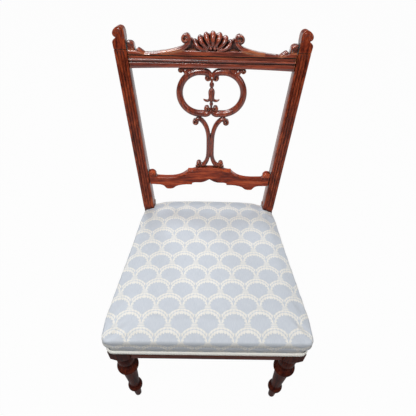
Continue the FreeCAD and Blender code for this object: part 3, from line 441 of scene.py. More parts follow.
def bar(bm, line, depth, front=0.0, crown=0.42, rounded=(True, True), lift=None):
    """A carved bar along a line of (x, s, width), with rounded ends."""
    lengths = [0.0]
    for a, b in zip(line, line[1:]):
        lengths.append(lengths[-1] + (b - a).to_2d().length)
    total = lengths[-1]
    rings = []
    for k, point in enumerate(line):
        before = line[max(k - 1, 0)]
        after = line[min(k + 1, len(line) - 1)]
        along = (after - before).to_2d().normalized()
        width = point[2]
        shrink = 1.0
        for near, wanted in ((lengths[k], rounded[0]), (total - lengths[k], rounded[1])):
            reach = width / 2
            if wanted and near < reach:
                shrink = min(shrink, math.sqrt(max(1 - (1 - near / reach) ** 2, 0.02)))
        raise_by = lift(lengths[k] / total) if lift else 0.0
        ring = []
        for u, n in domed(width * shrink, depth, min(width * crown, depth * 0.7)):
            ring.append((point[0] + along.y * u, point[1] - along.x * u,
                         front + raise_by - (1 - shrink) * width * 0.3 + n))
        rings.append(ring)
    skin(bm, rings)


def curl(x, s, radius, start, turn, width):
    """A line that winds in round a centre; start and turn are in degrees."""
    line = []
    for k in range(13):
        share = k / 12
        angle = math.radians(start + turn * share)
        away = radius * (1 - 0.80 * share)
        line.append((x + away * math.cos(angle), s + away * math.sin(angle),
                     width * (1 - 0.55 * share)))
    return line


def button(bm, x, s, radius, front, depth, rise):
    """A round carved boss with a domed face."""
    rings = []
    for k in range(7):
        turn = math.pi / 2 * k / 6
        size = max(radius * math.cos(turn), radius * 0.06)
        rings.append([(x + size * math.cos(a), s + size * math.sin(a),
                       front + radius * rise * math.sin(turn))
                      for a in (math.tau * j / 20 for j in range(20))])
    base = [(p[0], p[1], front - depth) for p in rings[0]]
    skin(bm, [base] + rings)


def volute(bm, x, s, radius, start, turn, front, depth):
    """A carved volute: a round boss, a band that winds in on it, and a bead in its eye."""
    button(bm, x, s, radius * 0.96, front - 4.2, depth, 0.06)
    band = radius * 0.43
    line = curl(x, s, radius - band / 2, start, turn, band)
    bar(bm, smooth_line(line, radius * 0.2), depth, front, 0.5, rounded=(False, True))
    button(bm, x, s, radius * 0.2, front - 2.6, depth, 0.9)


def board_piece(bm, outline, low, high):
    """A flat board sawn to an outline."""
    face = bm.faces.new([bm.verts.new((point[0], point[1], low)) for point in outline])
    grown = bmesh.ops.extrude_face_region(bm, geom=[face])["geom"]
    verts = [item for item in grown if isinstance(item, bmesh.types.BMVert)]
    bmesh.ops.translate(bm, vec=(0, 0, high - low), verts=verts)


def mirrored(bm):
    """Adds the left half as the mirror image of the right half."""
    copy = bmesh.ops.duplicate(bm, geom=bm.verts[:] + bm.edges[:] + bm.faces[:])["geom"]
    verts = [item for item in copy if isinstance(item, bmesh.types.BMVert)]
    bmesh.ops.scale(bm, vec=(-1, 1, 1), verts=verts)


def apply_modifiers(piece):
    graph = bpy.context.evaluated_depsgraph_get()
    mesh = bpy.data.meshes.new_from_object(piece.evaluated_get(graph))
    piece.modifiers.clear()
    piece.data = mesh


def new_piece(name, bm, place=None):
    """Turns a bmesh into an object, in metres and in its place."""
    bmesh.ops.recalc_face_normals(bm, faces=bm.faces)
    if place is not None:
        bm.transform(place)
    bm.transform(METRES)
    mesh = bpy.data.meshes.new(name)
    bm.to_mesh(mesh)
    bm.free()
    piece = bpy.data.objects.new(name, mesh)
    bpy.context.scene.collection.objects.link(piece)
    return piece


def fused(name, bm, voxel, rounds):
    """Melts overlapping carved shapes into one skin and rubs it smooth; still flat, in mm."""
    bmesh.ops.recalc_face_normals(bm, faces=bm.faces)
    mesh = bpy.data.meshes.new(name)
    bm.to_mesh(mesh)
    bm.free()
    piece = bpy.data.objects.new(name, mesh)
    bpy.context.scene.collection.objects.link(piece)
    melt = piece.modifiers.new("melt", "REMESH")
    melt.mode = "VOXEL"
    melt.voxel_size = voxel
    apply_modifiers(piece)
    result = bmesh.new()
    result.from_mesh(piece.data)
    bpy.data.objects.remove(piece)
    for _ in range(rounds):
        bmesh.ops.smooth_vert(result, verts=result.verts, factor=0.5, use_axis_x=True,
                              use_axis_y=True, use_axis_z=True)
    return result


def join(first, second):
    """Adds the second bmesh to the first."""
    mesh = bpy.data.meshes.new("part")
    second.to_mesh(mesh)
    second.free()
    first.from_mesh(mesh)
    bpy.data.meshes.remove(mesh)
    return first


def finish_piece(piece, material, slot, *nodes, angle=35):
    """Material, shading, body and the CAD nodes that the piece stands for."""
    piece.data.materials.clear()
    piece.data.materials.append(material)
    piece.data.shade_smooth()
    piece.data.set_sharp_from_angle(angle=math.radians(angle))
    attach(piece, "root")
    if nodes:
        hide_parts(*nodes)
    print(piece.name, len(piece.data.polygons), "faces")


print("carving tools ready")

# %% [markdown]
# The splat is sawn from one thin board and then carved: two open rings whose ends curl inwards, a
# pair of stems below them, and a bell flower on the middle line. Real carvers round each band over,
# so every band here is a bar with a round face. The bars are melted together, as they are one board.

# %% Splat
SPLAT_FRONT = -7.0
SPLAT_DEPTH = 12.0
RING_X, RING_S, RING_R = 26.5, 319.2, 49.4


def ring_line():
    line = [(3.8, 355.5, 8), (4.4, 361.8, 12), (10.0, 366.4, 15), (17.5, 368.2, 15.8)]
    for degrees in range(84, -85, -12):
        angle = math.radians(degrees)
        line.append((RING_X + RING_R * math.cos(angle), RING_S + RING_R * math.sin(angle), 15.8))
    line += [(20.0, 269.8, 15.6), (12.0, 269.0, 14.5), (5.4, 272.0, 12), (3.8, 278.4, 8)]
    return smooth_line(line, 1.6)


def splat_half():
    bm = bmesh.new()
    bar(bm, ring_line(), SPLAT_DEPTH + 1)
    volute(bm, 9.2, 355.0, 7.8, 150, 320, 0.4, SPLAT_DEPTH)
    volute(bm, 10.4, 282.2, 7.4, 200, -320, 0.4, SPLAT_DEPTH)
    # Bracket below the crest rail
    bracket = [(53.0, 360.0, 12), (59.0, 367.0, 13), (66.0, 371.5, 11)]
    bar(bm, smooth_line(bracket, 1.4), SPLAT_DEPTH, -0.4)
    volute(bm, 72.6, 371.4, 6.2, 200, 320, 0.0, SPLAT_DEPTH)
    web = closed_line([(40, 377.8), (74, 377.2), (72, 370), (62, 366), (55, 360), (44, 364)], 2)
    board_piece(bm, web, -SPLAT_DEPTH, -3)
    # Stem from the cross rail up to the volute under the ring
    stem = [(38.0, 255.6, 8.0), (31.0, 257.0, 9.6), (24.4, 254.6, 10.8), (17.4, 247.5, 11.4),
            (11.4, 237.5, 11.4), (7.3, 225, 11), (5.2, 210, 10.4), (4.8, 190, 10), (4.8, 170, 10),
            (5.6, 155, 10.4), (9.2, 142.0, 11), (15.5, 132.6, 11.4), (22.5, 128.6, 9)]
    bar(bm, smooth_line(stem, 1.6), SPLAT_DEPTH)
    volute(bm, 37.6, 248.4, 8.2, 80, -320, 0.4, SPLAT_DEPTH)
    volute(bm, 28.6, 134.6, 7.4, -95, 320, 0.8, SPLAT_DEPTH)
    foot = closed_line([(11, 125.6), (36, 125.6), (35, 131), (24, 133.5), (12, 131)], 2)
    board_piece(bm, foot, -SPLAT_DEPTH, -2)
    head = closed_line([(18, 380.4), (38, 380.2), (36, 371), (27, 368), (19, 371)], 2)
    board_piece(bm, head, -SPLAT_DEPTH, -2)
    return bm


def bell_flower(bm):
    """Neck, bead, bell, petals and a hanging bead, turned about the middle line."""
    profile = [(354, 2.6), (348, 2.8), (345.5, 3.2), (343.5, 5.0), (339.5, 5.8), (335.5, 4.8),
               (333.5, 3.2), (332, 3.8), (329, 6.2), (324, 8.0), (318, 8.0), (312, 7.2), (307, 7.8),
               (303.5, 9.8), (302.3, 7.9), (301.2, 3.4), (299.5, 3.0), (297, 4.3), (294, 4.5),
               (291, 3.6), (288.5, 2.6), (276, 2.8)]
    rings = []
    for s, radius in smooth_line(profile, 1.2):
        rings.append([(radius * math.cos(a), s, -6 + min(radius, 6.0) * math.sin(a))
                      for a in (math.tau * j / 20 for j in range(20))])
    skin(bm, rings)
    for side in (-1, 1):
        petal = [(side * 3, 304.5, 6.5), (side * 8.5, 302.4, 6.8), (side * 14, 302.8, 5.6),
                 (side * 19.6, 306.2, 2.4)]
        bar(bm, smooth_line(petal, 1.2), 5, -2.6, 0.45)
        leaf = [(side * 2.0, 330, 3), (side * 4.6, 320, 4.6), (side * 4.4, 312, 4.4),
                (side * 6.0, 305, 2.4)]
        bar(bm, smooth_line(leaf, 1.2), 6, 1.2, 0.4)
    bar(bm, smooth_line([(0, 329, 3), (0, 320, 4.8), (0, 311, 4.4), (0, 304, 2)], 1.2), 6, 2.4, 0.45)


def make_splat():
    bm = splat_half()
    mirrored(bm)
    bell_flower(bm)
    bmesh.ops.translate(bm, vec=(0, 0, SPLAT_FRONT), verts=bm.verts)
    return new_piece("splat", fused("splat", bm, 0.8, 2), BOARD)


splat = make_splat()
finish_piece(splat, SPLAT_WOOD, "stained_wood", "back_splat", angle=60)

# %% [markdown]
# The crest rail carries the richest work. Its lower half is a run of mouldings, cut with a plane, so
# one section pushed from post to post draws it crisply. The shell and scrolls above it are carved in
# the round: seven ribs that fan out and roll back at their tips, between two scrolls.

# %% Crest rail
CREST_BACK = -27.0
CREST_LOW = 374.6
POST_SLOPE = 0.0864


def post_inner(s):
    """Where the room between the posts ends, at a height up the board."""
    return POST_ROOM + POST_SPREAD * s / POST_LENGTH


def crest_top(x):
    """Top edge of the moulded rail at a distance from the middle."""
    stations = ((0, 416), (60, 416), (72, 418), (80, 417.6), (92, 415.2), (110, 412.6), (130, 409.8),
                (142, 408.4), (152, 408.2), (160, 410.5), (172, 414), (200, 414))
    for (x0, s0), (x1, s1) in zip(stations, stations[1:]):
        if x <= x1:
            share = (x - x0) / (x1 - x0)
            return s0 + (s1 - s0) * share * share * (3 - 2 * share)
    return stations[-1][1]


def crest_mouldings(bm):
    reach = post_inner(CREST_LOW) - 0.1
    rings = []
    count = 84
    for k in range(count + 1):
        share = -1 + 2 * k / count
        x = share * reach
        low = CREST_LOW + 3.8 * (1 - share * share)
        high = crest_top(abs(x))
        section = [(low + 1.2, CREST_BACK), (low, CREST_BACK + 1.2), (low, -6.4), (low + 0.4, -5.5),
                   (low + 1.2, -5.0), (387.6, -5.0), (388.2, -5.4), (388.6, -7.4), (390.2, -7.4),
                   (390.7, -6.0)]
        for j in range(7):
            turn = math.pi * j / 6
            section.append((393.6 - 2.6 * math.cos(turn), -5.8 + 2.0 * math.sin(turn)))
        section += [(396.8, -6.6), (397.2, -6.0), (401.6, -6.0), (402.0, -6.6), (402.4, -8.4),
                    (403.8, -8.4), (404.4, -6.6), (404.9, -5.4), (high - 3.4, -5.2), (high - 1.6, -5.8),
                    (high - 0.4, -7.2), (high, -9.4), (high, CREST_BACK + 1.6),
                    (high - 1.6, CREST_BACK)]
        widen = math.copysign(POST_SLOPE, x) * abs(share) ** 8
        rings.append([(x + (s - CREST_LOW) * widen, s, n) for s, n in section])
    skin(bm, rings)


def shell_ribs(bm):
    """Seven ribs: each rises from the middle, spreads and rolls back at its tip."""
    ribs = (
        [(0, 419, 4.6), (0, 428, 7.0), (0, 438, 9.8), (0, 448, 12.0), (0, 454.0, 11.8)],
        [(3.4, 420, 4.4), (7.4, 427, 6.6), (12.4, 437, 9.6), (15.0, 446, 11.4), (15.2, 451.2, 11.0)],
        [(7.0, 419.0, 4.4), (16.0, 423.6, 6.6), (23.8, 431, 9.2), (28.2, 439.4, 10.8),
         (29.0, 445.6, 10.4)],
        [(9.0, 416.8, 4.4), (21.0, 417.4, 6.6), (32.0, 422.6, 8.8), (38.8, 430.4, 9.8),
         (40.4, 437.4, 9.4)],
    )
    for rib in ribs:
        wide = [(x, s, width * 1.12) for x, s, width in rib]
        bar(bm, smooth_line(wide, 1.2), 17, -6.6, 0.62,
            lift=lambda share: 5.4 * math.sin(math.pi * min(share * 1.05, 1)) ** 0.8 - 2.0 * share ** 4)
    button(bm, 4.4, 420.6, 3.8, -3.0, 12, 0.9)


def crest_scroll(bm):
    """The right scroll: it rises from the rail, arches over and winds in."""
    line = [(116, 408.0, 4), (102, 410.4, 6.5), (89, 412.2, 9), (76, 415.2, 10.5), (66.5, 418.8, 10.6),
            (58.4, 424.6, 9.8), (53.0, 431.0, 9.0), (51.4, 438.0, 8.2), (54.0, 444.4, 7.6),
            (59.8, 446.8, 7.0)]
    bar(bm, smooth_line(line, 1.4), 20, -3.9, 0.4, rounded=(False, False))
    volute(bm, 60.2, 438.4, 10.4, 90, -330, -3.2, 20)
    web = closed_line([(40, 414), (84, 412), (64, 424), (56, 433), (50, 440), (44, 438), (38, 428)],
                      2.5)
    board_piece(bm, web, CREST_BACK + 1, -14.0)


def crest_ear(bm):
    """The small upright ear beside the post, with a volute at its foot."""
    line = [(151.0, 403.5, 7.5), (155.6, 407.4, 8), (160.4, 411.0, 8), (165.0, 414.4, 7),
            (168.4, 416.0, 5)]
    bar(bm, smooth_line(line, 1.4), 17, -4.9, 0.45)
    edge = post_inner(430)
    outline = smooth_line([(174.5, 410), (173.4, 419), (174.6, 426.5), (180.0, 431.0),
                           (edge - 0.4, 431.6)], 2.0)
    outline += [Vector((post_inner(404) - 0.3, 404)), Vector((174.5, 404))]
    board_piece(bm, outline, CREST_BACK + 1, -7.6)
    wind = [(edge - 1.6, 428.8, 5.5), (182.5, 428.4, 6.4), (177.0, 424.4, 6.4), (174.6, 419.6, 6.0)]
    bar(bm, smooth_line(wind, 1.3), 15, -5.0, 0.45, rounded=(False, True))
    volute(bm, 178.0, 416.8, 6.2, 120, 320, -5.0, 14)


def make_crest():
    carving = bmesh.new()
    crest_scroll(carving)
    crest_ear(carving)
    shell_ribs(carving)
    mirrored(carving)
    fan = smooth_line([(0, 453), (7, 448.5), (14.4, 449.5), (21, 444), (27.6, 443.5), (33.5, 436.5),
                       (39.5, 436), (43, 430), (42, 422), (44, 414)], 2.0)
    fan += [Vector((-p.x, p.y)) for p in reversed(fan[1:])]
    fan = [p.to_2d() for p in fan]
    board_piece(carving, fan, CREST_BACK + 0.6, -11.5)
    carved = fused("carving", carving, 0.75, 2)
    mouldings = bmesh.new()
    crest_mouldings(mouldings)
    bmesh.ops.recalc_face_normals(mouldings, faces=mouldings.faces)
    return new_piece("crest", join(mouldings, carved), BOARD)


crest = make_crest()
finish_piece(crest, CREST_WOOD, "stained_wood", "crest_rail", angle=45)

# %% [markdown]
# The cross rail is sawn to a lively outline on both edges. Its front arris is rounded over, a fine
# line follows the upper edge, and a scroll is carved at each end. It is sawn as a board, and the
# melting tool then rounds every arris a little, as sandpaper does.

# %% Cross rail
CROSS_FRONT = -2.0


def cross_outline():
    low, high = 73.4, 126.4
    upper = smooth_line([(0, high), (14, high), (28, high - 0.4), (34, high - 3.0), (39.5, high - 6.4),
                         (47, high - 8.4), (57, high - 9.0)], 1.5)
    upper += smooth_line([(58.6, high - 12.4), (64, high - 17), (74, high - 23.8), (86, high - 28.2),
                          (101, high - 30.8), (121, high - 31.2), (140.5, high - 30.4)], 2)
    upper += smooth_line([(143.0, high - 26), (145.6, high - 17.6), (152.5, high - 13.6),
                          (post_inner(113) - 0.2, high - 15.6)], 1.5)
    lower = [Vector((post_inner(76.4) - 0.2, low + 0.6))]
    lower += smooth_line([(148, low + 0.6), (136, low + 0.2), (126, low - 2.0), (119.5, low - 7.4),
                          (115.4, low - 11.8), (108, low - 12.6), (99.6, low - 11.6), (94.6, low - 8.4),
                          (89.5, low - 4.6), (79.5, low - 1.0), (65, low + 1.4), (46.8, low + 1.8)],
                          1.5)
    lower += smooth_line([(45.8, low + 8.2), (36, low + 8.6), (24, low + 8.6), (14, low + 11),
                          (7.4, low + 14.2), (0, low + 18.6)], 1.5)
    half = [p.to_2d() for p in upper + lower]
    other = [Vector((-p.x, p.y)) for p in reversed(half[1:-1])]
    return half + other


def make_cross():
    bm = bmesh.new()
    board_piece(bm, cross_outline(), CROSS_FRONT - 18, CROSS_FRONT - 0.6)
    half = bmesh.new()
    cap = smooth_line([(0, 122.6, 7.2), (20, 122.6, 7.2), (29, 121.6, 7), (36, 118.4, 6.5),
                       (44, 115.6, 6), (53, 114.8, 5)], 1.4)
    bar(half, cap, 12, CROSS_FRONT + 0.6, 0.35, rounded=(False, True))
    roll = smooth_line([(57, 111.6, 5.5), (66, 103.4, 6), (78, 97.4, 6), (92, 93.0, 6), (110, 91.4, 6),
                        (128, 91.0, 6), (138, 91.6, 5.5), (144.5, 95.0, 5.0)], 1.4)
    bar(half, roll, 12, CROSS_FRONT + 0.4, 0.4, rounded=(True, True))
    volute(half, 150.6, 104.0, 8.6, 250, -320, CROSS_FRONT + 0.8, 12)
    under = smooth_line([(3, 94.4, 4), (10, 89.8, 4.6), (22, 85.4, 4.8), (36, 84.6, 4.6),
                         (48, 82.0, 4.6), (62, 78.2, 4.8), (80, 76.0, 4.8), (93, 70.4, 4.8),
                         (101, 65.4, 4.8), (111, 64.6, 4.8), (119, 70.4, 4.8), (128, 76.0, 4.6),
                         (144, 77.6, 4.0)], 1.4)
    bar(half, under, 10, CROSS_FRONT - 0.1, 0.4)
    mirrored(half)
    join(bm, half)
    return new_piece("cross", fused("cross", bm, 0.85, 2), BOARD)


cross = make_cross()
finish_piece(cross, CROSS_WOOD, "stained_wood", "cross_rail", angle=60)

# %% [markdown]
# Each back post is one long piece: a raked foot, a square at the seat, and a leaning limb with reeds
# down its face. A ring of points is carried up the whole height, and its shape changes on the way.
# The scroll at the top is sawn and rounded over, with a sunk eye on the outer side.


# %% Back posts
def post_section(width, depth, reed):
    """Section of the right post, from its front face backwards; reed is the groove's depth."""
    half = width / 2
    soft = 1.6
    points = [(-half, -soft), (-half + soft * 0.3, -soft * 0.3), (-half + soft, 0)]
    for centre in (-0.24, 0.0, 0.24):
        middle = centre * width
        for step, share in ((-1.9, 0.0), (-0.9, 0.75), (0, 1.0), (0.9, 0.75), (1.9, 0.0)):
            points.append((middle + step, -reed * share))
    points += [(half - soft, 0), (half - soft * 0.3, -soft * 0.3), (half, -soft)]
    points += [(half, -depth + 2), (half - 0.6, -depth + 0.6), (half - 2, -depth)]
    points += [(-half + 2, -depth), (-half + 0.6, -depth + 0.6), (-half, -depth + 2)]
    return points


def lower_post_rings():
    rings = []
    stations = ((0, 58, 19.0, 19.0), (2.5, 57.4, 22, 22), (40, 45.5, 22.9, 24.0),
                (80, 34.2, 23.8, 26.0), (120, 24.6, 24.7, 28.1), (162, 15.7, 25.2, 29.4),
                (200, 9.8, 26.0, 31.2), (240, 5.2, 26.7, 33.0), (280, 1.8, 27.3, 34.9),
                (319, 0.1, 28, 37), (325, 0, 28, 37), (380, 0, 28, 37), (KNEE - 4, 0, 28, 37))
    for z, rake, width, depth in stations:
        front = POST_FRONT - SETBACK + rake
        rings.append([(167 + u, front - n, z) for u, n in post_section(width, depth, 0)])
    return rings


def limb_rings():
    rings = []
    for s in (2, 6, 12, 60, 120, 180, 240, 300, 360, 400, 410.0, 412.2, 413.6):
        outer = 182 + POST_SPREAD * s / POST_LENGTH
        depth = 36 - 8 * s / POST_LENGTH
        reed = 1.7 if 12 <= s <= 410 else 0
        middle = outer - 14
        rings.append([BOARD @ Vector((middle + u, s, n)) for u, n in post_section(28, depth, reed)])
    inside = [Vector((middle + u * 0.8, 417, n * 0.7 - 4)) for u, n in post_section(28, depth, 0)]
    rings.append([BOARD @ point for point in inside])
    return rings


def post_top():
    """The scroll at the head of the post, flat in the board's plane."""
    bm = bmesh.new()
    outline = smooth_line([(217.8, 415.1), (219.2, 428.4), (218.4, 432.5), (214.6, 436.6),
                           (210.4, 439.2)], 1.2)
    outline += smooth_line([(214.6, 440.8), (217.6, 445.8), (216.0, 452.6), (209.6, 459.2),
                            (202.6, 461.6), (195.6, 459.0), (192.0, 452.0), (191.0, 440),
                            (191.1, 428.6), (189.9, 415.1)], 1.2)
    board_piece(bm, [p.to_2d() for p in outline], -28.0, 0.0)
    rim = smooth_line([(194.4, 438, 5), (195.2, 446, 7), (198.4, 452.8, 9), (204.0, 455.0, 10),
                       (209.4, 452.8, 9)], 1.2)
    bar(bm, rim, 24, 1.4, 0.5, rounded=(True, False))
    volute(bm, 209.8, 446.8, 7.6, 70, -320, 1.0, 24)
    return fused("post_top", bm, 0.7, 3)


def make_post():
    bm = bmesh.new()
    skin(bm, lower_post_rings() + limb_rings())
    head = post_top()
    head.transform(BOARD)
    join(bm, head)
    return bm


right_post = new_piece("post_right", make_post())
finish_piece(right_post, GRAIN_UP, "stained_wood", "back_post_right", angle=32)
left_half = make_post()
bmesh.ops.scale(left_half, vec=(-1, 1, 1), verts=left_half.verts)
left_post = new_piece("post_left", left_half)
finish_piece(left_post, GRAIN_UP, "stained_wood", "back_post_left", angle=32)

# %% [markdown]
# The front legs are turned on a lathe below a square block. A lathe shape is half a profile spun
# round its axis. The block is a bevelled box whose lower corners the lathe has just touched, which an
# intersection with a spun dome gives.


# %% Front legs
RAIL_LOW, RAIL_HIGH, RAIL_THICK = 331, 406, 24
LEG_X, LEG_Y = 0.202, -SETBACK / 1000


def spun(profile):
    """Spins a profile of (radius, height) into a closed round piece."""
    bm = bmesh.new()
    verts = [bm.verts.new((max(r, 0.0), 0, z)) for r, z in profile]
    edges = [bm.edges.new(pair) for pair in zip(verts, verts[1:])]
    bmesh.ops.spin(bm, geom=verts + edges, axis=(0, 0, 1), cent=(0, 0, 0), angle=math.tau, steps=56,
                   use_merge=True)
    bmesh.ops.remove_doubles(bm, verts=bm.verts, dist=0.01)
    return bm


def turned_profile():
    stops = [
        [(0, 0), (7.6, 0)],
        smooth_line([(7.6, 0), (9.2, 1.2), (9.6, 4)], 0.8),
        smooth_line([(9.6, 4), (10.4, 22), (11.6, 44), (12.6, 60)], 6),
        smooth_line([(14.2, 62.6), (17.6, 66.5), (19.8, 72), (20.2, 77.5), (19.0, 83.5), (16.2, 88.0)],
                    1.2),
        [(14.2, 89.4), (13.0, 90.8), (13.0, 93.6)],
        smooth_line([(14.6, 94.6), (15.4, 96.8), (14.6, 99.0)], 0.7),
        smooth_line([(14.2, 100), (15.6, 130), (17.2, 160), (18.6, 190), (19.2, 202)], 8),
        smooth_line([(19.4, 205), (19.9, 212), (21.8, 218.6), (24.6, 222.6)], 1.6),
        [(24.6, 224.0)],
        smooth_line([(26.2, 225.0), (27.5, 229.5), (27.4, 233.5), (26.0, 237.2)], 1.0),
        [(24.6, 238.0)],
        smooth_line([(24.4, 239.2), (21.4, 243.4), (18.9, 247.4)], 1.4),
        [(18.6, 250.6), (18.6, 254.0)],
        smooth_line([(18.9, 256.5), (20.4, 264), (21.7, 275), (21.8, 286), (20.6, 297), (19.4, 303)],
                    2.2),
        [(19.0, 305.0)],
        smooth_line([(20.6, 306.0), (22.8, 309.2), (23.8, 313.0), (23.8, 318.4)], 1.2),
        [(0, 318.4)],
    ]
    return [tuple(point)[:2] for stretch in stops for point in stretch]


LEG_SIDE, LEG_INNER = 50, 177
BLOCK_LOW, LEDGE = 318, 368


def leg_square():
    """The visible block: bevelled, and drawn in a little above the ledge that the cover hides."""
    bm = bmesh.new()
    bmesh.ops.create_cube(bm, size=1)
    height = RAIL_HIGH - BLOCK_LOW
    bmesh.ops.scale(bm, vec=(LEG_SIDE, LEG_SIDE, height), verts=bm.verts)
    bmesh.ops.translate(bm, vec=(0, 0, BLOCK_LOW + height / 2), verts=bm.verts)
    bmesh.ops.bisect_plane(bm, geom=bm.verts[:] + bm.edges[:] + bm.faces[:],
                           plane_co=(0, 0, LEDGE), plane_no=(0, 0, 1))
    for vert in bm.verts:
        if vert.co.z > LEDGE + 1:
            vert.co = (min(vert.co.x, 21), max(vert.co.y, -23), LEDGE + 0.6)
    sides = [edge for edge in bm.edges if abs(edge.verts[0].co.z - edge.verts[1].co.z) > 30]
    bmesh.ops.bevel(bm, geom=sides, offset=2.2, segments=3, profile=0.5, affect="EDGES", material=-1)
    return bm


def combine(first, second, kind):
    """Cuts the first closed piece with the second, or keeps what both share."""
    tool = first.modifiers.new("combine", "BOOLEAN")
    tool.operation = kind
    tool.solver = "EXACT"
    tool.object = second
    apply_modifiers(first)
    bpy.data.objects.remove(second)


def make_leg(name, side):
    block = new_piece(name + "_block", leg_square())
    dome = spun([(0, 316), (20, 316), (24.6, 318), (27.5, 322), (31, 327), (35.8, 333), (39, 345),
                 (39, 380), (0, 380)])
    combine(block, new_piece(name + "_dome", dome), "INTERSECT")
    turned = new_piece(name, spun(turned_profile()))
    bm = bmesh.new()
    bm.from_mesh(turned.data)
    bm.from_mesh(block.data)
    bpy.data.objects.remove(block)
    if side < 0:
        bmesh.ops.scale(bm, vec=(-1, 1, 1), verts=bm.verts)
        bmesh.ops.recalc_face_normals(bm, faces=bm.faces)
    bmesh.ops.translate(bm, vec=(side * LEG_X, LEG_Y, 0), verts=bm.verts)
    bm.to_mesh(turned.data)
    bm.free()
    return turned


for name, side in (("leg_right", 1), ("leg_left", -1)):
    finish_piece(make_leg(name, side), LEG_WOOD, "stained_wood", "front_" + name, angle=38)

# %% [markdown]
# The four seat rails are plain boards between the legs. Only their lower halves show, below the
# braid. A board with softened arrises is a prism with bevelled edges.


# %% Seat rails
def eased_board(name, outline):
    bm = bmesh.new()
    board_piece(bm, outline, RAIL_LOW, RAIL_HIGH)
    bmesh.ops.recalc_face_normals(bm, faces=bm.faces)
    bmesh.ops.bevel(bm, geom=bm.edges[:], offset=1.4, segments=3, profile=0.5, affect="EDGES",
                    material=-1)
    return new_piece(name, bm)


def side_outer(depth):
    """Half the frame's width: it narrows evenly from the legs back to the posts."""
    start = LEG_SIDE / 2
    return FRAME_SIDE + (FRAME_NARROW - FRAME_SIDE) * (depth - start) / (POST_FRONT - start)


def flat_outline(points):
    return [(x, depth - SETBACK) for x, depth in points]


def straight_rail(half, front):
    back = front + RAIL_THICK
    return flat_outline([(-half, front), (half, front), (half, back), (-half, back)])


rails = {
    "front": straight_rail(LEG_INNER, FRAME_FRONT),
    "back": straight_rail(POST_ROOM, FRAME_BACK - RAIL_THICK),
}
for name, outline in rails.items():
    piece = eased_board("rail_" + name, outline)
    finish_piece(piece, RAIL_WOOD, "stained_wood", name + "_seat_rail", angle=50)
start, end = LEG_SIDE / 2, POST_FRONT
for name, side in (("right", 1), ("left", -1)):
    outline = [(side_outer(start) - RAIL_THICK, start), (side_outer(start), start),
               (side_outer(end), end), (side_outer(end) - RAIL_THICK, end)]
    piece = eased_board("rail_" + name, flat_outline([(side * x, y) for x, y in outline]))
    finish_piece(piece, GRAIN_BACK, "stained_wood", "side_seat_rail_" + name, angle=50)

# %% [markdown]
# The seat is stuffed over the frame: a firm roll of hair along the edges, wadding, and a cover pulled
# down tight and tacked to the rails. It starts as level rings that bulge and round over. Cloth
# simulation then lets air pressure settle the skin, so it swells in the middle and holds at the edge.

# %% Padded seat
EDGE_HEIGHT = 437
CROWN = 16.5
SKIRT_LOW = 368.2
COVER_OUT = 1.8


def seat_ring(z, front, side, back, count=140):
    """A level outline of the seat, with evenly spaced points, starting at the middle of the front."""
    corner = max(12 + side, 3)
    y0 = FRAME_FRONT - front
    y1 = FRAME_BACK + back
    x0 = FRAME_SIDE + side
    x1 = side_outer(y1 - 8) + side
    half = [Vector((0, y0)), Vector((x0 - corner, y0))]
    for k in range(1, 7):
        turn = math.pi / 2 * k / 6
        half.append(Vector((x0 - corner + corner * math.sin(turn),
                            y0 + corner - corner * math.cos(turn))))
    half += [Vector((x0, LEG_SIDE / 2)), Vector((x1, y1 - 8)), Vector((x1 - 2.5, y1 - 2.3)),
             Vector((x1 - 8, y1)), Vector((0, y1))]
    loop = half + [Vector((-p.x, p.y)) for p in reversed(half[1:-1])]
    loop.append(loop[0])
    lengths = [(b - a).length for a, b in zip(loop, loop[1:])]
    total = sum(lengths)
    points = []
    for k in range(count):
        left = total * k / count
        for a, b, length in zip(loop, loop[1:], lengths):
            if left <= length:
                spot = a.lerp(b, left / length)
                break
            left -= length
        points.append((spot.x, spot.y - SETBACK, z))
    return points


ROLL = 6.5


def seat_levels():
    """Height and bulge shares: straight skirt, swelling side, roll and crown."""
    levels = [(SKIRT_LOW, 0, 0)]
    for k in range(7):
        levels.append((386 + 48 * k / 7, math.sin(math.pi / 2 * k / 7), 0))
    for k in range(7):
        turn = math.radians(74 * k / 6)
        levels.append((434 + ROLL * math.sin(turn), 1, ROLL * (1 - math.cos(turn))))
    z, bulge, inward = levels[-1]
    for k in range(1, 10):
        share = k / 9
        levels.append((z + (EDGE_HEIGHT + CROWN - z) * (1 - (1 - share) ** 2), 1, inward + 120 * share))
    return levels


def padded_form():
    bm = bmesh.new()
    rings = []
    for z, bulge, inward in seat_levels():
        base = COVER_OUT - inward
        rings.append(seat_ring(z, base + 11.0 * bulge ** 1.2, base + 3.6 * bulge ** 0.5,
                               base + 1.6 * bulge))
    skin(bm, rings)
    piece = new_piece("seat", bm)
    melt = piece.modifiers.new("melt", "REMESH")
    melt.mode = "VOXEL"
    melt.voxel_size = 0.005
    apply_modifiers(piece)
    return piece


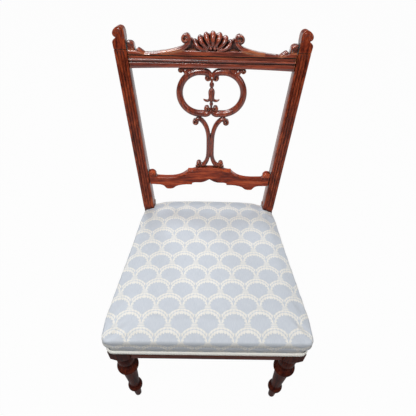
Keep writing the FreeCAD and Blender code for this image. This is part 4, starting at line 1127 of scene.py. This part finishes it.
def settle(piece, held, pressure, frames, most):
    """Lets pressure swell the skin; the held points stay, and no point goes further than most."""
    rest = [vert.co.copy() for vert in piece.data.vertices]
    group = piece.vertex_groups.new(name="held")
    group.add([k for k, point in enumerate(rest) if held(point)], 1.0, "REPLACE")
    cloth = piece.modifiers.new("cloth", "CLOTH")
    cloth.settings.quality = 5
    cloth.settings.mass = 0.3
    cloth.settings.tension_stiffness = 25
    cloth.settings.compression_stiffness = 25
    cloth.settings.bending_stiffness = 2
    cloth.settings.use_pressure = True
    cloth.settings.uniform_pressure_force = pressure
    cloth.settings.vertex_group_mass = group.name
    cloth.settings.effector_weights.gravity = 0
    cloth.point_cache.frame_start = 1
    cloth.point_cache.frame_end = frames
    scene = bpy.context.scene
    for number in range(1, frames + 1):
        scene.frame_set(number)
    apply_modifiers(piece)
    scene.frame_set(1)
    moved = 0.0
    for vert, start in zip(piece.data.vertices, rest):
        shift = vert.co - start
        if shift.length > most:
            vert.co = start + shift * (most / shift.length)
        moved = max(moved, (vert.co - start).length)
    piece.vertex_groups.clear()
    print("seat skin moved up to", round(moved * 1000, 1), "mm")


seat = padded_form()
settle(seat, lambda point: point.z < 0.413, 4.0, 20, 0.004)
finer = seat.modifiers.new("finer", "SUBSURF")
finer.levels = finer.render_levels = 1
apply_modifiers(seat)


# %% Tuck the cover round the posts and over the rails
def tuck(point):
    """Pulls the cover down where it is folded in beside a post."""
    x, y = abs(point.x) * 1000, point.y * 1000 + SETBACK
    away = math.hypot(max(POST_ROOM - x, 0), max(POST_FRONT - y, 0))
    swell = 4.5 * max(0.0, 1 - (x / 150) ** 2) * min(max((y - 250) / 110, 0), 1)
    return swell - 8.0 * math.exp(-(away / 22) ** 2) if point.z > 0.40 else 0.0


def spread(point):
    """Pushes the stuffed front corners out over the legs."""
    y = point.y * 1000 + SETBACK
    forward = min(max((230 - y) / 240, 0.0), 1.0)
    height = min(max((point.z * 1000 - 386) / 44, 0.0), 1.0)
    outward = min(max((abs(point.x) * 1000 - 120) / 90, 0.0), 1.0)
    return math.copysign(5.0 * forward * math.sin(math.pi / 2 * height) * outward, point.x)


def box_piece(name, low, high):
    bm = bmesh.new()
    bmesh.ops.create_cube(bm, size=1)
    bmesh.ops.scale(bm, vec=[b - a for a, b in zip(low, high)], verts=bm.verts)
    bmesh.ops.translate(bm, vec=[(a + b) / 2 for a, b in zip(low, high)], verts=bm.verts)
    return new_piece(name, bm)


for vert in seat.data.vertices:
    vert.co.x += spread(vert.co) * 0.001
    vert.co.z += tuck(vert.co) * 0.001
    vert.co.z += 0.0004 * noise.noise(vert.co * 26) if vert.co.z > 0.42 else 0.0
for side in (-1, 1):
    low, high = sorted((side * 152.6, side * 260))
    space = box_piece("post_space", (low, 357.2 - SETBACK, 320), (high, 460 - SETBACK, 520))
    combine(seat, space, "DIFFERENCE")
core = bmesh.new()
skin(core, [seat_ring(z, 0.3, 0.3, 0.3) for z in (340, 407.8)])
combine(seat, new_piece("frame_space", core), "DIFFERENCE")
print("seat cut round the posts and the frame")


# %% Lay the cloth's pattern on the seat
FOLD_HEIGHT = 446
PATTERN_START = (-0.31, 12.91 - SETBACK)
PATTERN_TURN = math.radians(0.5)


def lay_pattern(piece):
    """Unrolls the sides outwards, so that the pattern runs down them as the cloth does."""
    layer = piece.data.uv_layers.new(name="cloth")
    turn = Matrix.Rotation(-PATTERN_TURN, 2)
    for corner, loop in enumerate(piece.data.loops):
        point = piece.data.vertices[loop.vertex_index].co * 1000
        flat = Vector((point.x, point.y))
        drop = max(0.0, FOLD_HEIGHT - point.z)
        to_edge = (abs(flat.x) - 205, -flat.y - 230, flat.y - 135)
        side = Vector((math.copysign(1, flat.x), 0)) if to_edge[0] > max(to_edge[1:]) else (
            Vector((0, -1)) if to_edge[1] > to_edge[2] else Vector((0, 1)))
        unrolled = flat + side * max(drop - 6, 0)
        spot = turn @ (unrolled - Vector(PATTERN_START))
        layer.data[corner].uv = spot * 0.001


lay_pattern(seat)
finish_piece(seat, COVER, "woven_cover", "seat_cover", "wadding", "seat_stuffing", angle=60)

# %% [markdown]
# A ribbed braid hides the tacks along the cover's lower edge. Each rib is a little cord, so the braid
# is one long strip whose face rises and falls every few millimetres.

# %% Braid
BRAID_LOW, BRAID_HIGH = 367.6, 382.4
RIB_STEP = 3.6


def braid_path():
    """The line along the middle of the braid's back, round the seat, in even steps."""
    ring = seat_ring(0, 3.0, 3.0, 3.0, 1400)
    return [Vector((x, y)) for x, y, z in ring]


def open_stretches(path):
    """The stretches of the line that are clear of the posts."""
    clear = [not (abs(p.x) > 150.6 and p.y + SETBACK > 355.2) for p in path]
    start = next(k for k in range(len(path)) if not clear[k - 1] and clear[k])
    order = path[start:] + path[:start]
    flags = clear[start:] + clear[:start]
    stretches, run = [], []
    for point, good in zip(order, flags):
        if good:
            run.append(point)
        elif run:
            stretches.append(run)
            run = []
    if run:
        stretches.append(run)
    return stretches


def braid_strip(bm, path):
    lengths = [0.0]
    for a, b in zip(path, path[1:]):
        lengths.append(lengths[-1] + (b - a).length)
    rings = []
    count = round(lengths[-1] / (RIB_STEP / 6))
    index = 0
    for k in range(count + 1):
        want = lengths[-1] * k / count
        while index < len(path) - 2 and lengths[index + 1] < want:
            index += 1
        share = (want - lengths[index]) / (lengths[index + 1] - lengths[index])
        spot = path[index].lerp(path[index + 1], share)
        along = (path[index + 1] - path[index]).normalized()
        out = Vector((along.y, -along.x))
        rib = abs(math.sin(math.pi * want / RIB_STEP))
        swell = 2.5 + 1.4 * rib
        height = BRAID_HIGH - BRAID_LOW
        face = []
        for j in range(11):
            z = BRAID_LOW + height * j / 10
            push = 0.25 + swell * math.sin(math.pi * j / 10) ** 0.7
            face.append((spot.x + out.x * push, spot.y + out.y * push, z))
        back = [(spot.x - out.x * 0.15, spot.y - out.y * 0.15, z) for z in (BRAID_HIGH - 0.4,
                                                                            BRAID_LOW + 0.4)]
        rings.append(face + back)
    skin(bm, rings)


bm = bmesh.new()
for stretch in open_stretches(braid_path()):
    braid_strip(bm, stretch)
braid = new_piece("braid", bm)
finish_piece(braid, BRAID, "braid", "seat_trimming", angle=80)

# %% [markdown]
# A thin black cotton closes the seat from below. It is stretched and tacked, and hangs a little in the
# middle. A flat face is cut into a fine mesh, lowered by a smooth hollow, and given its thickness.


# %% Bottom cloth
def make_bottom_cloth():
    leg, turn, rear = 175, 29, 355.6
    half = [(0, -15), (leg, -15), (leg, turn), (side_outer(turn) - 8, turn),
            (side_outer(rear) - 8, rear), (151, rear), (151, 383.1), (0, 383.1)]
    outline = half + [(-x, y) for x, y in reversed(half[1:-1])]
    bm = bmesh.new()
    face = bm.faces.new([bm.verts.new((x, y - SETBACK, 330.9)) for x, y in outline])
    for axis, low, high in ((0, -210, 210), (1, -15 - SETBACK, 384 - SETBACK)):
        for k in range(1, 28):
            place = [0, 0, 0]
            place[axis] = low + (high - low) * k / 28
            normal = [0, 0, 0]
            normal[axis] = 1
            bmesh.ops.bisect_plane(bm, geom=bm.verts[:] + bm.edges[:] + bm.faces[:], plane_co=place,
                                   plane_no=normal)
    for vert in bm.verts:
        x = vert.co.x / 175
        y = (vert.co.y + SETBACK - 184) / 170
        hollow = max(0.0, 1 - x * x) * max(0.0, 1 - y * y)
        vert.co.z -= 3.0 * hollow + 0.3 * noise.noise(vert.co * 0.03) * hollow
    piece = new_piece("bottom_cloth_sheet", bm)
    wall = piece.modifiers.new("wall", "SOLIDIFY")
    wall.thickness = 0.0007
    wall.offset = 0
    apply_modifiers(piece)
    return piece


under = make_bottom_cloth()
finish_piece(under, BLACK_COTTON, "black_cloth", "bottom_cloth", angle=60)

# %% [markdown]
# The pieces inside the seat keep their CAD shapes, which are already right, and only get finishes:
# beech blocks and dowels, steel screws, iron tacks, and jute for the webs and hessian.

# %% Finishes for the hidden pieces
hidden = {
    BEECH: ["front_corner_block_right", "front_corner_block_left", "back_corner_block_right",
            "back_corner_block_left", "seat_rail_dowels"],
    STEEL: ["corner_block_screws"],
    IRON: ["webbing_tacks", "cover_tacks", "bottom_cloth_tacks"],
    JUTE: ["webbing_lengthwise", "webbing_crosswise", "hessian"],
}
for material, names in hidden.items():
    for name in names:
        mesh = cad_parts[name].data
        mesh.materials.clear()
        mesh.materials.append(material)
print("hidden pieces finished:", sum(len(names) for names in hidden.values()))

# %% [markdown]
# The photograph has a plain white ground and soft light from above and in front, a little from the
# left. A large lamp stands there and a wide one hangs above. One behind the chair draws highlights on
# its top edges, and a weak one fills from the right. The floor looks white to the camera because it
# shows its own light, mixed with a little of its lit surface, and so it keeps the chair's shadow.

# %% Floor, lamps and background
bpy.context.scene.view_settings.view_transform = "Standard"


def white_ground():
    finish = Finish("white_ground", Roughness=0.9)
    finish.shader.inputs["Base Color"].default_value = (0.32, 0.32, 0.32, 1)
    rays = finish.tree.nodes.new("ShaderNodeLightPath")
    seen = Field(finish.tree, rays.outputs["Is Camera Ray"]).sum(
        "MAXIMUM", Field(finish.tree, rays.outputs["Is Glossy Ray"])).sum(
        "MAXIMUM", Field(finish.tree, rays.outputs["Is Transmission Ray"]))
    glow = finish.node("ShaderNodeEmission", Color=(1, 1, 1, 1), Strength=1.0)
    mixer = finish.node("ShaderNodeMixShader", Fac=seen * 0.975)
    finish.tree.links.new(finish.shader.outputs[0], mixer.inputs[1])
    finish.tree.links.new(glow.outputs[0], mixer.inputs[2])
    out = finish.tree.nodes["Material Output"]
    finish.tree.links.new(mixer.outputs[0], out.inputs["Surface"])
    return finish.material


bm = bmesh.new()
bmesh.ops.create_grid(bm, x_segments=8, y_segments=8, size=7000)
floor = new_piece("floor", bm)
floor.data.materials.append(white_ground())

world = bpy.data.worlds.new("studio")
bpy.context.scene.world = world
world.use_nodes = True
tree = world.node_tree
background = tree.nodes["Background"]
rays = tree.nodes.new("ShaderNodeLightPath")
seen = Field(tree, rays.outputs["Is Camera Ray"])
strength = seen * 0.86 + 0.14
tree.links.new(strength.socket, background.inputs["Strength"])
background.inputs["Color"].default_value = (1, 1, 1, 1)


def lamp(name, place, aim, size, power, colour=(1, 1, 1)):
    light = bpy.data.lights.new(name, "AREA")
    light.shape = "SQUARE"
    light.size = size
    light.energy = power
    light.color = colour
    holder = bpy.data.objects.new(name, light)
    holder.location = place
    holder.rotation_euler = (Vector(aim) - Vector(place)).to_track_quat("-Z", "Y").to_euler()
    bpy.context.scene.collection.objects.link(holder)


lamp("key", (-0.5, -1.0, 2.6), (0, 0, 0.5), 0.8, 38, (1.0, 0.99, 0.97))
lamp("sky", (-0.2, 0.6, 2.7), (0, 0, 0.5), 1.0, 15, (0.96, 0.98, 1.0))
lamp("back", (-0.5, 1.7, 1.8), (0, 0.1, 0.7), 0.5, 14, (0.95, 0.98, 1.0))
lamp("fill", (1.5, -0.9, 1.7), (0, 0, 0.4), 0.8, 5)
print("floor, world and lamps ready")
